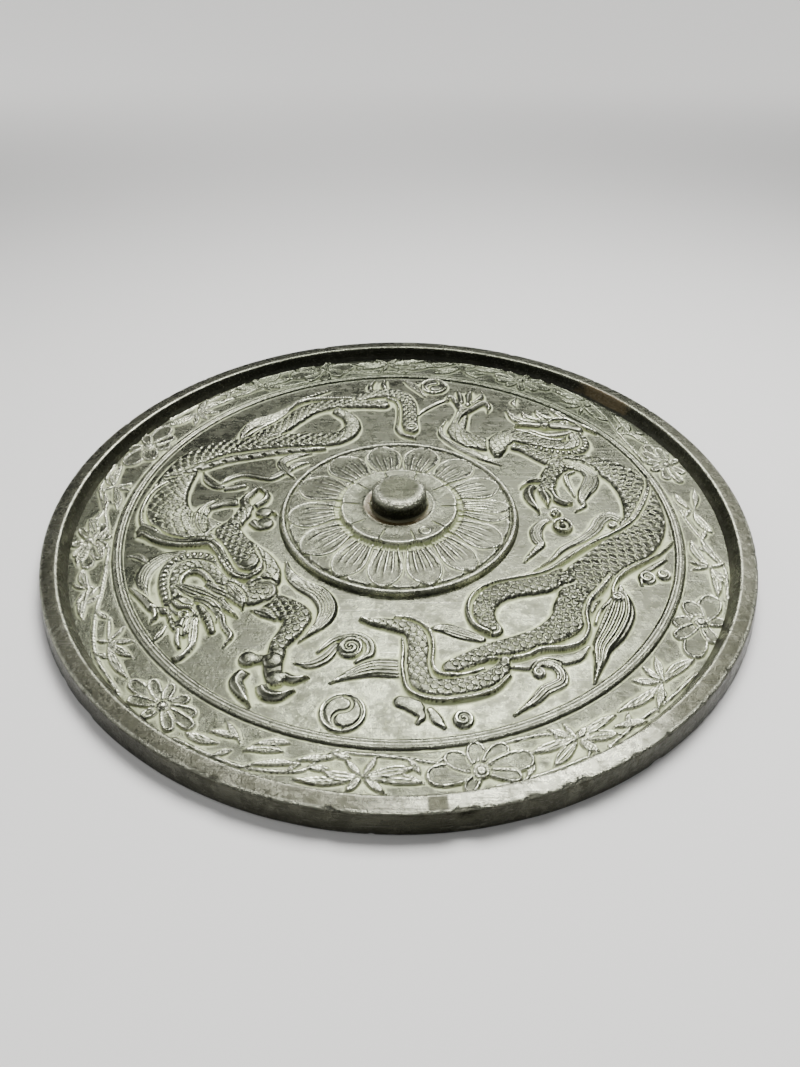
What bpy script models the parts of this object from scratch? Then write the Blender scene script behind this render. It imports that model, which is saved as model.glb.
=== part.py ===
"""Ancient bronze mirror, lying face down with its decorated back up.

One cast piece: a disc with a raised rim, a border of flowers and leaves, a ring, a
field with two dragons circling a lotus, and a pierced knob at the centre.  The disc is
turned ring by ring and the carving is raised on it by a height function.
Metres, +Z up, origin at the centre of the underside, +Y towards the far edge.
"""
import math

import bpy
import numpy as np

# Turned profile
RIM_RADIUS = 0.1400
EDGE_FLARE = 0.0015
EDGE_THICKNESS = 0.0085
ARRIS = 0.0006
RIM_TOP_WIDTH = 0.0062
RIM_SLOPE_WIDTH = 0.0026
BORDER_GROUND = 0.0026
BAND_OUTER = 0.82 * RIM_RADIUS
BAND_WIDTH = 0.0036
BAND_STEP = 0.0008
BAND_TOP = 0.0036
FIELD_GROUND = 0.0023
LOTUS_RING = 0.344 * RIM_RADIUS
LOTUS_RING_WIDTH = 0.0014
LOTUS_RING_STEP = 0.0010
LOTUS_RING_TOP = 0.0050
LOTUS_GROUND = 0.0042
LOTUS_CROWN = 0.0052
SEAT_RADIUS = 0.17 * RIM_RADIUS
SEAT_TOP = 0.0074
KNOB_RADIUS = 0.0116
KNOB_FOOT_RADIUS = 0.0114
KNOB_FLAT_RADIUS = 0.0076
KNOB_SHOULDER = 0.0036
KNOB_TOP = 0.0161
CORD_HOLE_RADIUS = 0.0031
CORD_HOLE_ABOVE_SEAT = 0.0035

BAND_INNER = BAND_OUTER - BAND_WIDTH
FIELD_OUTER = BAND_INNER - BAND_STEP
FIELD_INNER = LOTUS_RING + LOTUS_RING_STEP

# Carving
DRAGON_RISE = 0.0026
FLOWER_RISE = 0.0011
PETAL_RISE = 0.0012
PETALS = 14
SEAT_LOBES = 10
PETAL_GAP_BEARING = 274.0

# Triangles left in each carved zone once the fine turned grid is thinned
ZONE_TRIANGLES = (("border", 2800), ("field", 3500), ("lotus", 950))

# Ring steps and facets
PLAIN_FACETS = 96
BORDER_FACETS = 768
FIELD_FACETS = 480
LOTUS_FACETS = 256
KNOB_FACETS = 48
SHOULDER_STEPS = 4
BORDER_STEP = 0.0010
FIELD_STEP = 0.0013
ZONE_MARGIN = 0.0008

# Radii, in drawing millimetres, of the ground the dragons are drawn on
DRAWN_FIELD = (49.2, 110.4)

# Dragon parts as centre lines of (x, y, width) in drawing millimetres, with the share of
# the full rise each one has.  The near halves of both dragons are drawn, and the far
# halves are the same parts turned about the centre.
HEAD = (
    (1.0, ((-56, -46, 11), (-66, -41, 6), (-72, -34, 6), (-78, -29.5, 6), (-83, -31, 7),
           (-86, -37, 7), (-85, -45, 8), (-82, -51, 9))),
    (1.1, ((-82, -49, 9), (-79, -56, 12), (-77, -62, 9), (-77, -67, 5))),
    (0.9, ((-76, -56, 5), (-70, -60, 5), (-68, -65, 3))),
    (0.7, ((-75, -47, 2.5), (-66, -50, 4), (-60, -54, 4), (-58, -59, 2))),
    (0.6, ((-62, -59, 2.5), (-60, -66, 2.5), (-59, -73, 1.5))),
    (0.6, ((-70, -64, 3), (-70.5, -70, 3), (-72, -78, 1.5))),
    (0.7, ((-87.5, -61, 2), (-88, -56, 3.5), (-94, -51, 3.5), (-99, -47, 1.5))),
    (0.7, ((-97, -33, 2), (-98, -43, 4), (-94, -52, 4))),
    (0.8, ((-105, -14.6, 6), (-97, -15.5, 4.5), (-90, -20, 4.5), (-81, -19.3, 4.5),
           (-74, -20, 4.5), (-68.6, -25.6, 4.5), (-63.4, -34, 4.5), (-57, -37, 2))),
    (1.0, ((-50, -50, 12), (-41, -54, 11), (-36, -59, 10), (-38, -65, 8),
           (-41, -73, 5), (-42, -81, 7))),
    (0.7, ((-44, -79, 3), (-48.5, -76, 3), (-52, -80, 1.5))),
    (0.7, ((-43, -82, 3), (-50, -84, 3.4), (-53, -90, 3), (-48, -97, 1.5))),
    (0.7, ((-42, -83, 3), (-42.6, -89, 3.4), (-40, -94.5, 3), (-35, -93.6, 1.5))),
    (0.7, ((-40, -82, 3), (-36, -84.5, 3.4), (-33, -88.5, 3), (-30.4, -87, 1.5))),
    (0.7, ((-41, -32, 2), (-37, -40, 6), (-28, -47, 8), (-24, -55, 8), (-27, -63, 6),
           (-35, -71, 2))),
)
REACH = (
    (1.0, ((-71, -17, 12), (-79, -8, 11), (-80, 0, 9), (-73, 5, 7), (-65, 3, 8))),
    (0.7, ((-66, 6, 3), (-63, 11, 3), (-67, 16, 1.5))),
    (0.7, ((-62, 5, 3), (-57, 8, 3), (-55.6, 15, 1.5))),
    (0.7, ((-62, 2, 3), (-56, 0.5, 3), (-51, 4, 1.5))),
    (0.7, ((-63, -1, 3), (-57, -5.5, 3), (-51, -5, 1.5))),
    (0.6, ((-74, 21, 1.5), (-68.6, 27.5, 4), (-63, 25.5, 4), (-55, 23, 4.5),
           (-50, 30, 4.5), (-43, 34, 1.5))),
)
TAIL = (
    (0.9, ((60, -46, 12), (50, -43, 9), (39, -44, 8.5), (33, -48.4, 8.5),
           (30.4, -54, 8.5), (29.8, -59, 8.5), (32, -64, 8.5), (35, -74, 8.5),
           (33.4, -85, 8.5), (21.3, -91.5, 8.5), (12, -92.7, 8.5), (6.7, -89, 8.5),
           (6.1, -80.6, 8.5), (7.9, -72, 8), (5.5, -65, 7), (-3, -62, 5), (-12, -60.5, 2))),
    (1.1, ((83, -27, 15), (76, -36, 20), (70, -46, 22), (65, -56, 15))),
    (0.6, ((47, -80.6, 2), (53, -87, 4), (45, -92.7, 4), (39.5, -101, 2))),
    (0.6, ((14, -67, 2), (20, -66, 6), (28, -66.5, 3))),
    (0.6, ((-22, -88, 1.5), (-16, -86, 5), (-8, -83, 9), (0, -83, 9))),
)
NEAR_LEG = (
    (1.1, ((67, -52, 14), (60, -66, 10), (52, -70, 8), (42.5, -74, 7.5), (28, -77, 7),
           (20, -81, 6), (17, -85, 5))),
    (0.8, ((79, -53, 5), (82, -62, 11), (74, -71, 13), (67, -81, 8), (65.6, -88, 2))),
    (0.6, ((86, -39, 2.5), (94, -38.7, 4), (101, -36, 1.5))),
    (0.6, ((-34, -80, 2), (-28, -81.6, 3.5), (-22, -78, 4))),
    (0.6, ((57.6, -4.7, 3), (53.4, -9, 3.5), (55, -16.7, 3.5), (51, -23.5, 3.5),
           (48.2, -29.3, 1.5))),
    (0.6, ((81, -2, 2.5), (77, -11.5, 3.5), (65, -20.4, 4.5), (54, -32.4, 1.5))),
)
FAR_LEG = (
    (1.1, ((-70, 50, 15), (-62, 60, 12), (-54, 72, 10), (-44, 81, 8.5), (-29, 84.5, 7.5),
           (-14, 85, 6), (-6, 88, 5))),
    (0.7, ((-49, 91, 1.5), (-54, 81, 5), (-61, 70, 7), (-70, 61, 4))),
)
NEAR_TOES = (
    (0.7, ((17, -84, 4), (13, -95, 3.4), (4, -99, 1.5))),
    (0.7, ((18, -84, 4), (17, -97, 3.4), (12, -104, 1.5))),
    (0.7, ((19, -84, 4), (22, -95, 3.4), (22, -103, 1.5))),
)
BODIES = (
    (1.2, ((-53, -48, 14), (-48.6, -40, 13), (-53.5, -32, 12), (-60, -26, 12),
           (-68, -19, 14), (-80, -13, 16), (-93, -6, 18), (-97.6, 7, 18), (-97, 22, 17),
           (-92, 36, 15), (-82, 44, 14), (-68, 49, 13), (-50, 48, 10))),
    (1.2, ((49, 52, 14), (45, 43.5, 13), (51, 36, 12), (60, 31, 13), (72, 32, 14),
           (86, 33, 14), (97, 25, 15), (101.5, 14.6, 17), (102, 4, 17), (99, -8, 17),
           (92, -19, 15), (83, -27, 15))),
)
HEAD_TURN = 185.0
REACH_TURN = 194.0
TAIL_TURN = 172.0

# Round bosses on the field: x, y, radius in drawing millimetres, share of the rise
BOSSES = ((-16.6, -73.6, 6.0, 0.8), (-17.7, -101.0, 8.0, 0.8), (17.0, 101.5, 7.5, 0.8),
          (66.4, -8.4, 4.0, 0.9), (87.3, -5.8, 5.0, 0.6))

# Border: bearing of each blossom in degrees, with its petals and their width
BLOSSOMS = ((188, 5, 7.5), (233, 8, 4.5), (282, 5, 8.5), (330, 5, 8.5),
            (18, 5, 8.5), (64, 5, 8.0), (108, 6, 6.5), (152, 7, 5.5))

# Border: bearing of each leaf spray and the lances in it (direction from the outward
# radius towards increasing bearing in degrees, length in drawing millimetres)
SPRAYS = (
    (200, ((80, 8), (-95, 12))), (205, ((55, 11), (-70, 7))),
    (215, ((85, 17), (35, 5), (-110, 11), (-155, 8), (145, 9))),
    (245, ((80, 12), (120, 12), (-60, 9), (-100, 8))),
    (255, ((60, 13), (110, 12), (-75, 10))),
    (266, ((95, 12), (60, 7), (-45, 9), (-120, 9), (150, 8))),
    (297, ((70, 15), (10, 7), (-50, 10), (-105, 14), (-150, 8), (140, 8))),
    (307, ((75, 12), (120, 9), (-80, 8))),
    (315, ((75, 17), (-100, 12), (-150, 8), (165, 7), (130, 11))),
    (344, ((115, 16), (25, 9), (-75, 14), (175, 8))),
    (352, ((70, 12), (110, 13), (-60, 10))),
    (2, ((85, 14), (40, 9), (-35, 10), (-110, 11), (165, 8))),
    (33, ((80, 13), (20, 9), (-60, 10), (-115, 12))),
    (45, ((75, 15), (120, 10), (-80, 12))),
    (76, ((80, 14), (-70, 9), (150, 8))), (90, ((75, 13), (25, 8), (-100, 14))),
    (122, ((80, 13), (-60, 10), (150, 8))), (136, ((75, 14), (20, 8), (-100, 13))),
    (164, ((110, 15), (60, 10), (-70, 10))), (174, ((100, 16), (140, 9), (-75, 9))),
)
STEMS_PER_TURN = 8

HOLE_SLACK = 0.004


def curve(points, steps):
    """Smooth line through (x, y, width) points."""
    pts = np.array(points, dtype=float)
    ends = np.vstack([2 * pts[0] - pts[1], pts, 2 * pts[-1] - pts[-2]])
    line = []
    for k in range(1, len(ends) - 2):
        a, b, c, d = ends[k - 1:k + 3]
        for t in np.linspace(0.0, 1.0, steps, endpoint=False):
            cubic = (3 * b - a - 3 * c + d) * t ** 3
            line.append(0.5 * (2 * b + (c - a) * t + (2 * a - 5 * b + 4 * c - d) * t * t + cubic))
    line.append(pts[-1])
    return np.array(line)


def to_field(line):
    """Carry drawing millimetres to metres, keeping the place between the two rings."""
    scale = (FIELD_OUTER - FIELD_INNER) / (DRAWN_FIELD[1] - DRAWN_FIELD[0])
    radius = np.hypot(line[:, 0], line[:, 1])
    out = line.copy()
    out[:, :2] *= ((FIELD_INNER + (radius - DRAWN_FIELD[0]) * scale) / radius)[:, None]
    out[:, 2] *= scale
    return out


def turned(points, degrees):
    """Points turned about the centre of the mirror."""
    c = math.cos(math.radians(degrees))
    s = math.sin(math.radians(degrees))
    return [(x * c - y * s, x * s + y * c, w) for x, y, w in points]


def field_strokes():
    """All the dragon parts, as (rise, line in metres)."""
    groups = ((HEAD, 0.0), (HEAD, HEAD_TURN), (REACH, 0.0), (REACH, REACH_TURN),
              (TAIL, 0.0), (TAIL, TAIL_TURN), (NEAR_LEG, 0.0), (FAR_LEG, 0.0),
              (NEAR_TOES, 0.0), (NEAR_TOES, TAIL_TURN), (BODIES, 0.0))
    strokes = []
    for group, degrees in groups:
        for share, points in group:
            line = to_field(curve(turned(points, degrees), 6))
            strokes.append((share * DRAGON_RISE, line))
    for x, y, radius, share in BOSSES:
        dot = [(x - 0.1, y, 2 * radius), (x, y, 2 * radius), (x + 0.1, y, 2 * radius)]
        strokes.append((share * DRAGON_RISE, to_field(curve(dot, 1))))
    return strokes


def border_point(bearing, radius, direction, distance):
    """Point at a distance from a place on the border, direction from the outward radius."""
    a = math.radians(bearing)
    d = a + math.radians(direction)
    return (radius * math.cos(a) + distance * math.cos(d),
            radius * math.sin(a) + distance * math.sin(d))


def lance(bearing, radius, direction, start, length, width, share):
    """One leaf or petal: narrow at both ends, widest past its middle."""
    points = []
    for t, w in ((0.0, 0.35), (0.35, 0.8), (0.7, 1.0), (1.0, 0.25)):
        x, y = border_point(bearing, radius, direction, start + t * (length - start))
        points.append((x, y, w * width))
    return share * FLOWER_RISE, curve(points, 3)


def border_strokes():
    """Blossoms, leaf sprays and the wavy stem, as (rise, line in metres)."""
    inner = BAND_OUTER + ARRIS
    outer = RIM_RADIUS - RIM_TOP_WIDTH - RIM_SLOPE_WIDTH
    middle = 0.5 * (inner + outer)
    half = 0.5 * (outer - inner)
    unit = half / 8.2
    strokes = []
    for bearing, petals, width in BLOSSOMS:
        for k in range(petals):
            direction = 360.0 * k / petals + 7.0 * (bearing % 5)
            reach = half * (0.95 if abs(math.cos(math.radians(direction))) > 0.6 else 1.25)
            strokes.append(lance(bearing, middle, direction, 0.15 * half, reach,
                                 width * unit, 1.0))
        x, y = border_point(bearing, middle, 0.0, 0.0)
        dot = [(x - 1e-4, y, 5.0 * unit), (x, y, 5.0 * unit), (x + 1e-4, y, 5.0 * unit)]
        strokes.append((1.2 * FLOWER_RISE, curve(dot, 1)))
    for bearing, lances in SPRAYS:
        for direction, length in lances:
            strokes.append(lance(bearing, middle, direction, 0.0, length * unit,
                                 3.6 * unit, 0.9))
    for k in range(STEMS_PER_TURN):
        first = BLOSSOMS[k][0]
        gap = (BLOSSOMS[(k + 1) % STEMS_PER_TURN][0] - first) % 360
        points = []
        for t in np.linspace(0.12, 0.88, 7):
            radius = middle - 0.7 * half * math.cos(math.pi * t * 1.3)
            x, y = border_point(first + t * gap, radius, 0.0, 0.0)
            points.append((x, y, 1.8 * unit))
        strokes.append((0.7 * FLOWER_RISE, curve(points, 3)))
    return strokes


def raise_strokes(x, y, strokes, power):
    """Height of the highest stroke over each point; the power rounds its section."""
    height = np.zeros_like(x)
    for rise, line in strokes:
        reach = 0.5 * line[:, 2].max()
        lo = line[:, :2].min(axis=0) - reach
        hi = line[:, :2].max(axis=0) + reach
        near = np.nonzero((x > lo[0]) & (x < hi[0]) & (y > lo[1]) & (y < hi[1]))[0]
        if len(near) == 0:
            continue
        px = x[near][:, None]
        py = y[near][:, None]
        a = line[:-1]
        step = line[1:] - a
        length = np.maximum((step[:, :2] ** 2).sum(axis=1), 1e-14)
        t = ((px - a[:, 0]) * step[:, 0] + (py - a[:, 1]) * step[:, 1]) / length
        t = np.clip(t, 0.0, 1.0)
        away = np.hypot(px - a[:, 0] - t * step[:, 0], py - a[:, 1] - t * step[:, 1])
        half = np.maximum(0.5 * (a[:, 2] + t * step[:, 2]), 1e-5)
        share = np.clip(1.0 - (away / half) ** power, 0.0, 1.0)
        height[near] = np.maximum(height[near], rise * share.max(axis=1))
    return height


def lotus_height(radius, angle):
    """Height of the lotus petals and of the lobed seat of the knob."""
    foot = LOTUS_RING - 1.6 * LOTUS_RING_WIDTH
    share = np.clip((radius - SEAT_RADIUS) / (foot - SEAT_RADIUS), 0.0, 1.0)
    base = LOTUS_CROWN + (LOTUS_GROUND - LOTUS_CROWN) * share
    rise = np.zeros_like(radius)
    first_gap = math.radians(PETAL_GAP_BEARING)
    for row, offset, tip in ((1.0, 0.0, 0.93), (0.6, 0.5, 1.0)):
        turn = (angle - first_gap) * PETALS / (2 * math.pi) + 0.5 + offset
        across = np.abs(turn - np.round(turn)) * 2
        wide = np.sqrt(np.clip(1.0 - (share / tip) ** 6, 0.0, 1.0)) * 0.95
        petal = np.clip(1.0 - (across / np.maximum(wide, 1e-3)) ** 2, 0.0, 1.0) ** 0.6
        rise = np.maximum(rise, row * PETAL_RISE * petal * (wide > 0.05))
    lobe = 0.05 * np.abs(np.cos(0.5 * SEAT_LOBES * angle))
    edge = SEAT_RADIUS * (0.97 + lobe)
    inside = np.clip((edge - radius) / 0.0012, 0.0, 1.0)
    seat = inside * inside * (3 - 2 * inside)
    return (base + rise) * (1 - seat) + SEAT_TOP * seat


def ring_plan():
    """Rings from the centre of the underside round to the knob.

    Each ring is (radius, height, facets, carving), where carving names the height
    function or is empty on plain turned rings.
    """
    rim_in = RIM_RADIUS - RIM_TOP_WIDTH
    border_out = rim_in - RIM_SLOPE_WIDTH
    foot = LOTUS_RING - 1.6 * LOTUS_RING_WIDTH
    rings = [
        (0.5 * RIM_RADIUS, 0.0, PLAIN_FACETS // 2, ""),
        (RIM_RADIUS + EDGE_FLARE - ARRIS, 0.0, PLAIN_FACETS, ""),
        (RIM_RADIUS + EDGE_FLARE, ARRIS, PLAIN_FACETS, ""),
        (RIM_RADIUS + 0.3 * ARRIS, EDGE_THICKNESS - ARRIS, PLAIN_FACETS, ""),
        (RIM_RADIUS - ARRIS, EDGE_THICKNESS, PLAIN_FACETS, ""),
        (rim_in, EDGE_THICKNESS, PLAIN_FACETS, ""),
        (border_out, BORDER_GROUND, PLAIN_FACETS, ""),
    ]
    rings.append((border_out - ZONE_MARGIN, BORDER_GROUND, PLAIN_FACETS, ""))
    inner = BAND_OUTER + ARRIS + ZONE_MARGIN
    steps = round((border_out - 2 * ZONE_MARGIN - inner) / BORDER_STEP)
    for r in np.linspace(border_out - 2 * ZONE_MARGIN, inner, steps + 1):
        rings.append((r, BORDER_GROUND, BORDER_FACETS, "border"))
    rings.append((BAND_OUTER + ARRIS, BORDER_GROUND, PLAIN_FACETS, ""))
    rings.append((BAND_OUTER, BAND_TOP, PLAIN_FACETS, ""))
    rings.append((BAND_INNER, BAND_TOP, PLAIN_FACETS, ""))
    rings.append((FIELD_OUTER, FIELD_GROUND, PLAIN_FACETS, ""))
    steps = round((FIELD_OUTER - FIELD_INNER - 2 * ZONE_MARGIN) / FIELD_STEP)
    for r in np.linspace(FIELD_OUTER - ZONE_MARGIN, FIELD_INNER + ZONE_MARGIN, steps + 1):
        rings.append((r, FIELD_GROUND, FIELD_FACETS, "field"))
    rings.append((FIELD_INNER, FIELD_GROUND, PLAIN_FACETS, ""))
    rings.append((LOTUS_RING, LOTUS_RING_TOP, PLAIN_FACETS, ""))
    rings.append((LOTUS_RING - LOTUS_RING_WIDTH, LOTUS_RING_TOP, PLAIN_FACETS, ""))
    steps = round((foot - KNOB_FOOT_RADIUS) / FIELD_STEP)
    for r in np.linspace(foot, KNOB_FOOT_RADIUS, steps + 1)[:-1]:
        rings.append((r, 0.0, LOTUS_FACETS, "lotus"))
    rings.append((KNOB_FOOT_RADIUS, SEAT_TOP, KNOB_FACETS, ""))
    for t in np.linspace(0.0, 0.5 * math.pi, SHOULDER_STEPS + 1):
        r = KNOB_FLAT_RADIUS + (KNOB_RADIUS - KNOB_FLAT_RADIUS) * math.cos(t)
        z = KNOB_TOP - KNOB_SHOULDER * (1.0 - math.sin(t))
        rings.append((r, z, KNOB_FACETS, ""))
    return rings


def ring_points(radius, height, facets, carving):
    """Vertices of one ring, with the carving on it."""
    angle = np.arange(facets) * 2 * math.pi / facets
    x = radius * np.cos(angle)
    y = radius * np.sin(angle)
    z = np.full(facets, height)
    if carving == "lotus":
        z = lotus_height(np.full(facets, radius), angle)
    return np.stack([x, y, z], axis=1)


def stitch(first, n_first, second, n_second):
    """Triangles between two rings of any facet counts."""
    faces = []
    i = 0
    j = 0
    while i < n_first or j < n_second:
        if (i + 1) * n_second <= (j + 1) * n_first:
            faces.append((first + i, first + (i + 1) % n_first, second + j % n_second))
            i += 1
        else:
            faces.append((first + i % n_first, second + (j + 1) % n_second, second + j))
            j += 1
    return faces


def mirror_mesh():
    """Closed mesh of the mirror and the vertices of each carved zone."""
    rings = ring_plan()
    points = [np.zeros((1, 3))]
    starts = []
    zones = {}
    count = 1
    for radius, height, facets, carving in rings:
        starts.append(count)
        points.append(ring_points(radius, height, facets, carving))
        if carving:
            zones.setdefault(carving, []).extend(range(count, count + facets))
        count += facets
    points.append(np.array([[0.0, 0.0, KNOB_TOP]]))
    verts = np.vstack(points)
    for name, strokes, power in (("field", field_strokes(), 3.0),
                                 ("border", border_strokes(), 1.6)):
        index = np.array(zones[name])
        verts[index, 2] += raise_strokes(verts[index, 0], verts[index, 1], strokes, power)
    faces = []
    n = rings[0][2]
    faces += [(0, starts[0] + (k + 1) % n, starts[0] + k) for k in range(n)]
    for k in range(len(rings) - 1):
        quads = stitch(starts[k], rings[k][2], starts[k + 1], rings[k + 1][2])
        faces += quads
    n = rings[-1][2]
    faces += [(starts[-1] + k, starts[-1] + (k + 1) % n, count) for k in range(n)]
    mesh = bpy.data.meshes.new("mirror")
    mesh.from_pydata(verts.tolist(), [], faces)
    mesh.update()
    return mesh, zones


def bronze():
    """Tarnished high-tin bronze."""
    material = bpy.data.materials.new("aged_bronze")
    material.use_nodes = True
    shader = material.node_tree.nodes["Principled BSDF"]
    shader.inputs["Base Color"].default_value = (0.29, 0.285, 0.215, 1.0)
    shader.inputs["Metallic"].default_value = 0.8
    shader.inputs["Roughness"].default_value = 0.45
    return material


def cord_hole(collection):
    """Cutter for the hole bored from left to right through the foot of the knob."""
    length = 2 * (KNOB_RADIUS + HOLE_SLACK)
    height = SEAT_TOP + CORD_HOLE_ABOVE_SEAT
    bpy.ops.mesh.primitive_cylinder_add(vertices=24, radius=CORD_HOLE_RADIUS, depth=length,
                                        location=(0.0, 0.0, height),
                                        rotation=(0.0, math.pi / 2, 0.0))
    cutter = bpy.context.object
    cutter.name = "cord_hole_cutter"
    bpy.ops.object.transform_apply(location=True, rotation=True, scale=True)
    for owner in list(cutter.users_collection):
        owner.objects.unlink(cutter)
    collection.objects.link(cutter)
    cutter.hide_render = True
    cutter.display_type = "WIRE"
    return cutter


def build():
    """Make the mirror in its own collection."""
    for old in list(bpy.data.objects):
        bpy.data.objects.remove(old, do_unlink=True)
    collection = bpy.data.collections.new("ancient_bronze_mirror")
    bpy.context.scene.collection.children.link(collection)
    mesh, zones = mirror_mesh()
    mesh.materials.append(bronze())
    mirror = bpy.data.objects.new("mirror", mesh)
    collection.objects.link(mirror)
    total = len(mesh.polygons)
    for name, left in ZONE_TRIANGLES:
        group = mirror.vertex_groups.new(name=name)
        group.add(zones[name], 1.0, "REPLACE")
        members = set(zones[name])
        here = sum(not members.isdisjoint(face.vertices) for face in mesh.polygons)
        thin = mirror.modifiers.new("thin_" + name, "DECIMATE")
        thin.vertex_group = group.name
        thin.ratio = (total - here + left) / total
        total += left - here
    bore = mirror.modifiers.new("cord_hole", "BOOLEAN")
    bore.operation = "DIFFERENCE"
    bore.solver = "EXACT"
    bore.object = cord_hole(collection)


build()
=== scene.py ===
import math

import bmesh
import bpy
import numpy as np
from mathutils import Matrix, Vector


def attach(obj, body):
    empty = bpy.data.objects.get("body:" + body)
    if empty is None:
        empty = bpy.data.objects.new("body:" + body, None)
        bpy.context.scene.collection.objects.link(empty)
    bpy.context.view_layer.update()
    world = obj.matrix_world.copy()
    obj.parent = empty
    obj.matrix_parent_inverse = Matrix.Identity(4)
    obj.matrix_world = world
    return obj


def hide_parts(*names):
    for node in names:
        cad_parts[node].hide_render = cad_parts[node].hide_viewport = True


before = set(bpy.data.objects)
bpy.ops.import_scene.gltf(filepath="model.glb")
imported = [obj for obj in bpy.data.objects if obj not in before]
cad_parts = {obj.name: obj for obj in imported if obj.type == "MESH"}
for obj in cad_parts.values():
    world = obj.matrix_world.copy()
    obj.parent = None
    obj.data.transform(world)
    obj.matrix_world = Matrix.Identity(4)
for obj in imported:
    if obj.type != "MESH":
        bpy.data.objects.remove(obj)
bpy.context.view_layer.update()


# The cast disc: the plate of high-tin bronze with its polished face underneath, a slightly
# flared edge and a flat raised rim.  It was cast in one with the rest and turned smooth,
# and its sharp corners are nicked all round.
MM = 0.001
RIM_RADIUS = 140.0
RIM_INNER = 133.8
RIM_MIDDLE = 0.5 * (RIM_INNER + RIM_RADIUS)
BORDER_OUTER = 131.2
BORDER_GROUND = 2.6
HIDDEN_FLOOR = 1.1
PLATE_STEPS = 1152
SMOOTH_ANGLE = math.radians(40)
# Chips in the rim's outer corner on the near side: bearing, half width and depth
CHIPS = ((278.0, 3.6, 1.0), (286.0, 2.0, 0.7), (290.6, 1.4, 0.6), (292.6, 2.2, 0.8),
         (262.0, 1.4, 0.6), (300.5, 1.2, 0.5), (247.5, 1.6, 0.5))
# Bearings that the squared repair in the near lip runs between
REPAIR = (273.7, 276.1)
# Bearings between which the rim's top is painted bright, a painted highlight
HIGHLIGHT_BEARINGS = (264.0, 312.0)
# Bearing and half width of the brown stain on the inner wall
STAIN = (40.0, 5.0)
# The way to the far side, where the border and rim are darkened with painted shade
PAINTED_SHADE_DIRECTION = (0.2, 0.98, 0.0)
# Grey tint multiplied in for the painted shade on the far side
PAINTED_SHADE_TINT = (0.34, 0.36, 0.32, 1)
# Bright metal for worn places, also used for the painted highlight on the rim's near side
BARE_METAL_AND_HIGHLIGHT = (0.58, 0.59, 0.46, 1)
SCRATCHED_METAL = (0.34, 0.34, 0.28, 1)
BROWN_DIRT = (0.095, 0.066, 0.018, 1)


def smooth(t):
    """Ease from 0 to 1."""
    t = np.clip(t, 0.0, 1.0)
    return t * t * (3.0 - 2.0 * t)


def wander(angle, seed, low, high):
    """Uneven rise and fall on the way round the mirror, about -1 to 1."""
    pick = np.random.default_rng(seed)
    waves = 12
    total = np.zeros_like(angle)
    for turns in pick.integers(low, high, waves):
        total += np.sin(angle * turns + pick.uniform(0, 2 * math.pi))
    return total / math.sqrt(waves)


def nicks(angle, seed, count, width, depth):
    """Bites out of a corner on the way round, in mm."""
    pick = np.random.default_rng(seed)
    bite = np.zeros_like(angle)
    for _ in range(count):
        away = np.abs((angle - pick.uniform(0, 2 * math.pi) + math.pi) % (2 * math.pi) - math.pi)
        wide = width * pick.uniform(0.3, 1.6) / RIM_RADIUS
        bite = np.maximum(bite, depth * pick.uniform(0.2, 1.0) * smooth(1.3 - away / wide))
    return bite


def facing(radius, height, angle):
    """Normals of a surface given ring by ring in mm, round the whole mirror."""
    dr_row = np.gradient(radius, axis=0)
    dz_row = np.gradient(height, axis=0)
    step = angle[1] - angle[0]
    dz_turn = (np.roll(height, -1, axis=1) - np.roll(height, 1, axis=1)) / (2 * step)
    dr_turn = (np.roll(radius, -1, axis=1) - np.roll(radius, 1, axis=1)) / (2 * step)
    c, s = np.cos(angle)[None, :], np.sin(angle)[None, :]
    row = np.stack([dr_row * c, dr_row * s, dz_row], axis=-1)
    turn = np.stack([dr_turn * c - radius * s, dr_turn * s + radius * c, dz_turn], axis=-1)
    normal = np.cross(turn, row)
    return normal / np.maximum(np.linalg.norm(normal, axis=-1, keepdims=True), 1e-12)


def cast_piece(name, radius, height, angle, normal, marks, closed):
    """A piece of the casting: a grid rolled round the centre and shaped ring by ring.

    The grid's rows follow the profile of the piece.  A closed piece goes all the way
    round, and any other is a sector whose two sides are then filled.  The marks are what
    its material needs at each point.
    """
    rows, columns = radius.shape
    bpy.ops.object.select_all(action="DESELECT")
    bpy.ops.mesh.primitive_grid_add(x_subdivisions=columns - 1, y_subdivisions=rows - 1, size=1)
    piece = bpy.context.object
    piece.name = name
    piece.data.name = name
    place = np.stack([radius * np.cos(angle), radius * np.sin(angle), height], axis=-1) * MM
    piece.data.vertices.foreach_set("co", place.reshape(-1).astype(np.float32))
    if normal is not None:
        carved = piece.data.attributes.new("carved_normal", "FLOAT_VECTOR", "POINT")
        carved.data.foreach_set("vector", normal.reshape(-1).astype(np.float32))
    for mark, value in marks.items():
        kept = piece.data.attributes.new(mark, "FLOAT", "POINT")
        kept.data.foreach_set("value", value.reshape(-1).astype(np.float32))
    bpy.ops.object.mode_set(mode="EDIT")
    bpy.ops.mesh.select_all(action="SELECT")
    bpy.ops.mesh.remove_doubles(threshold=1e-7)
    if not closed:
        bpy.ops.mesh.select_all(action="DESELECT")
        shell = bmesh.from_edit_mesh(piece.data)
        rim = [edge for edge in shell.edges if edge.is_boundary]
        bmesh.ops.holes_fill(shell, edges=rim, sides=0)
        bmesh.update_edit_mesh(piece.data)
        bpy.ops.mesh.select_all(action="SELECT")
    bpy.ops.mesh.normals_make_consistent(inside=False)
    bpy.ops.object.mode_set(mode="OBJECT")
    piece.data.polygons.foreach_set("use_smooth", np.ones(len(piece.data.polygons), bool))
    if normal is None:
        bpy.ops.object.shade_smooth_by_angle(angle=SMOOTH_ANGLE)
    else:
        kept = np.zeros(len(piece.data.vertices) * 3, np.float32)
        piece.data.attributes["carved_normal"].data.foreach_get("vector", kept)
        piece.data.normals_split_custom_set_from_vertices(kept.reshape(-1, 3).tolist())
        piece.data.attributes.remove(piece.data.attributes["carved_normal"])
    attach(piece, "root")
    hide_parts("mirror")
    return piece


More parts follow.
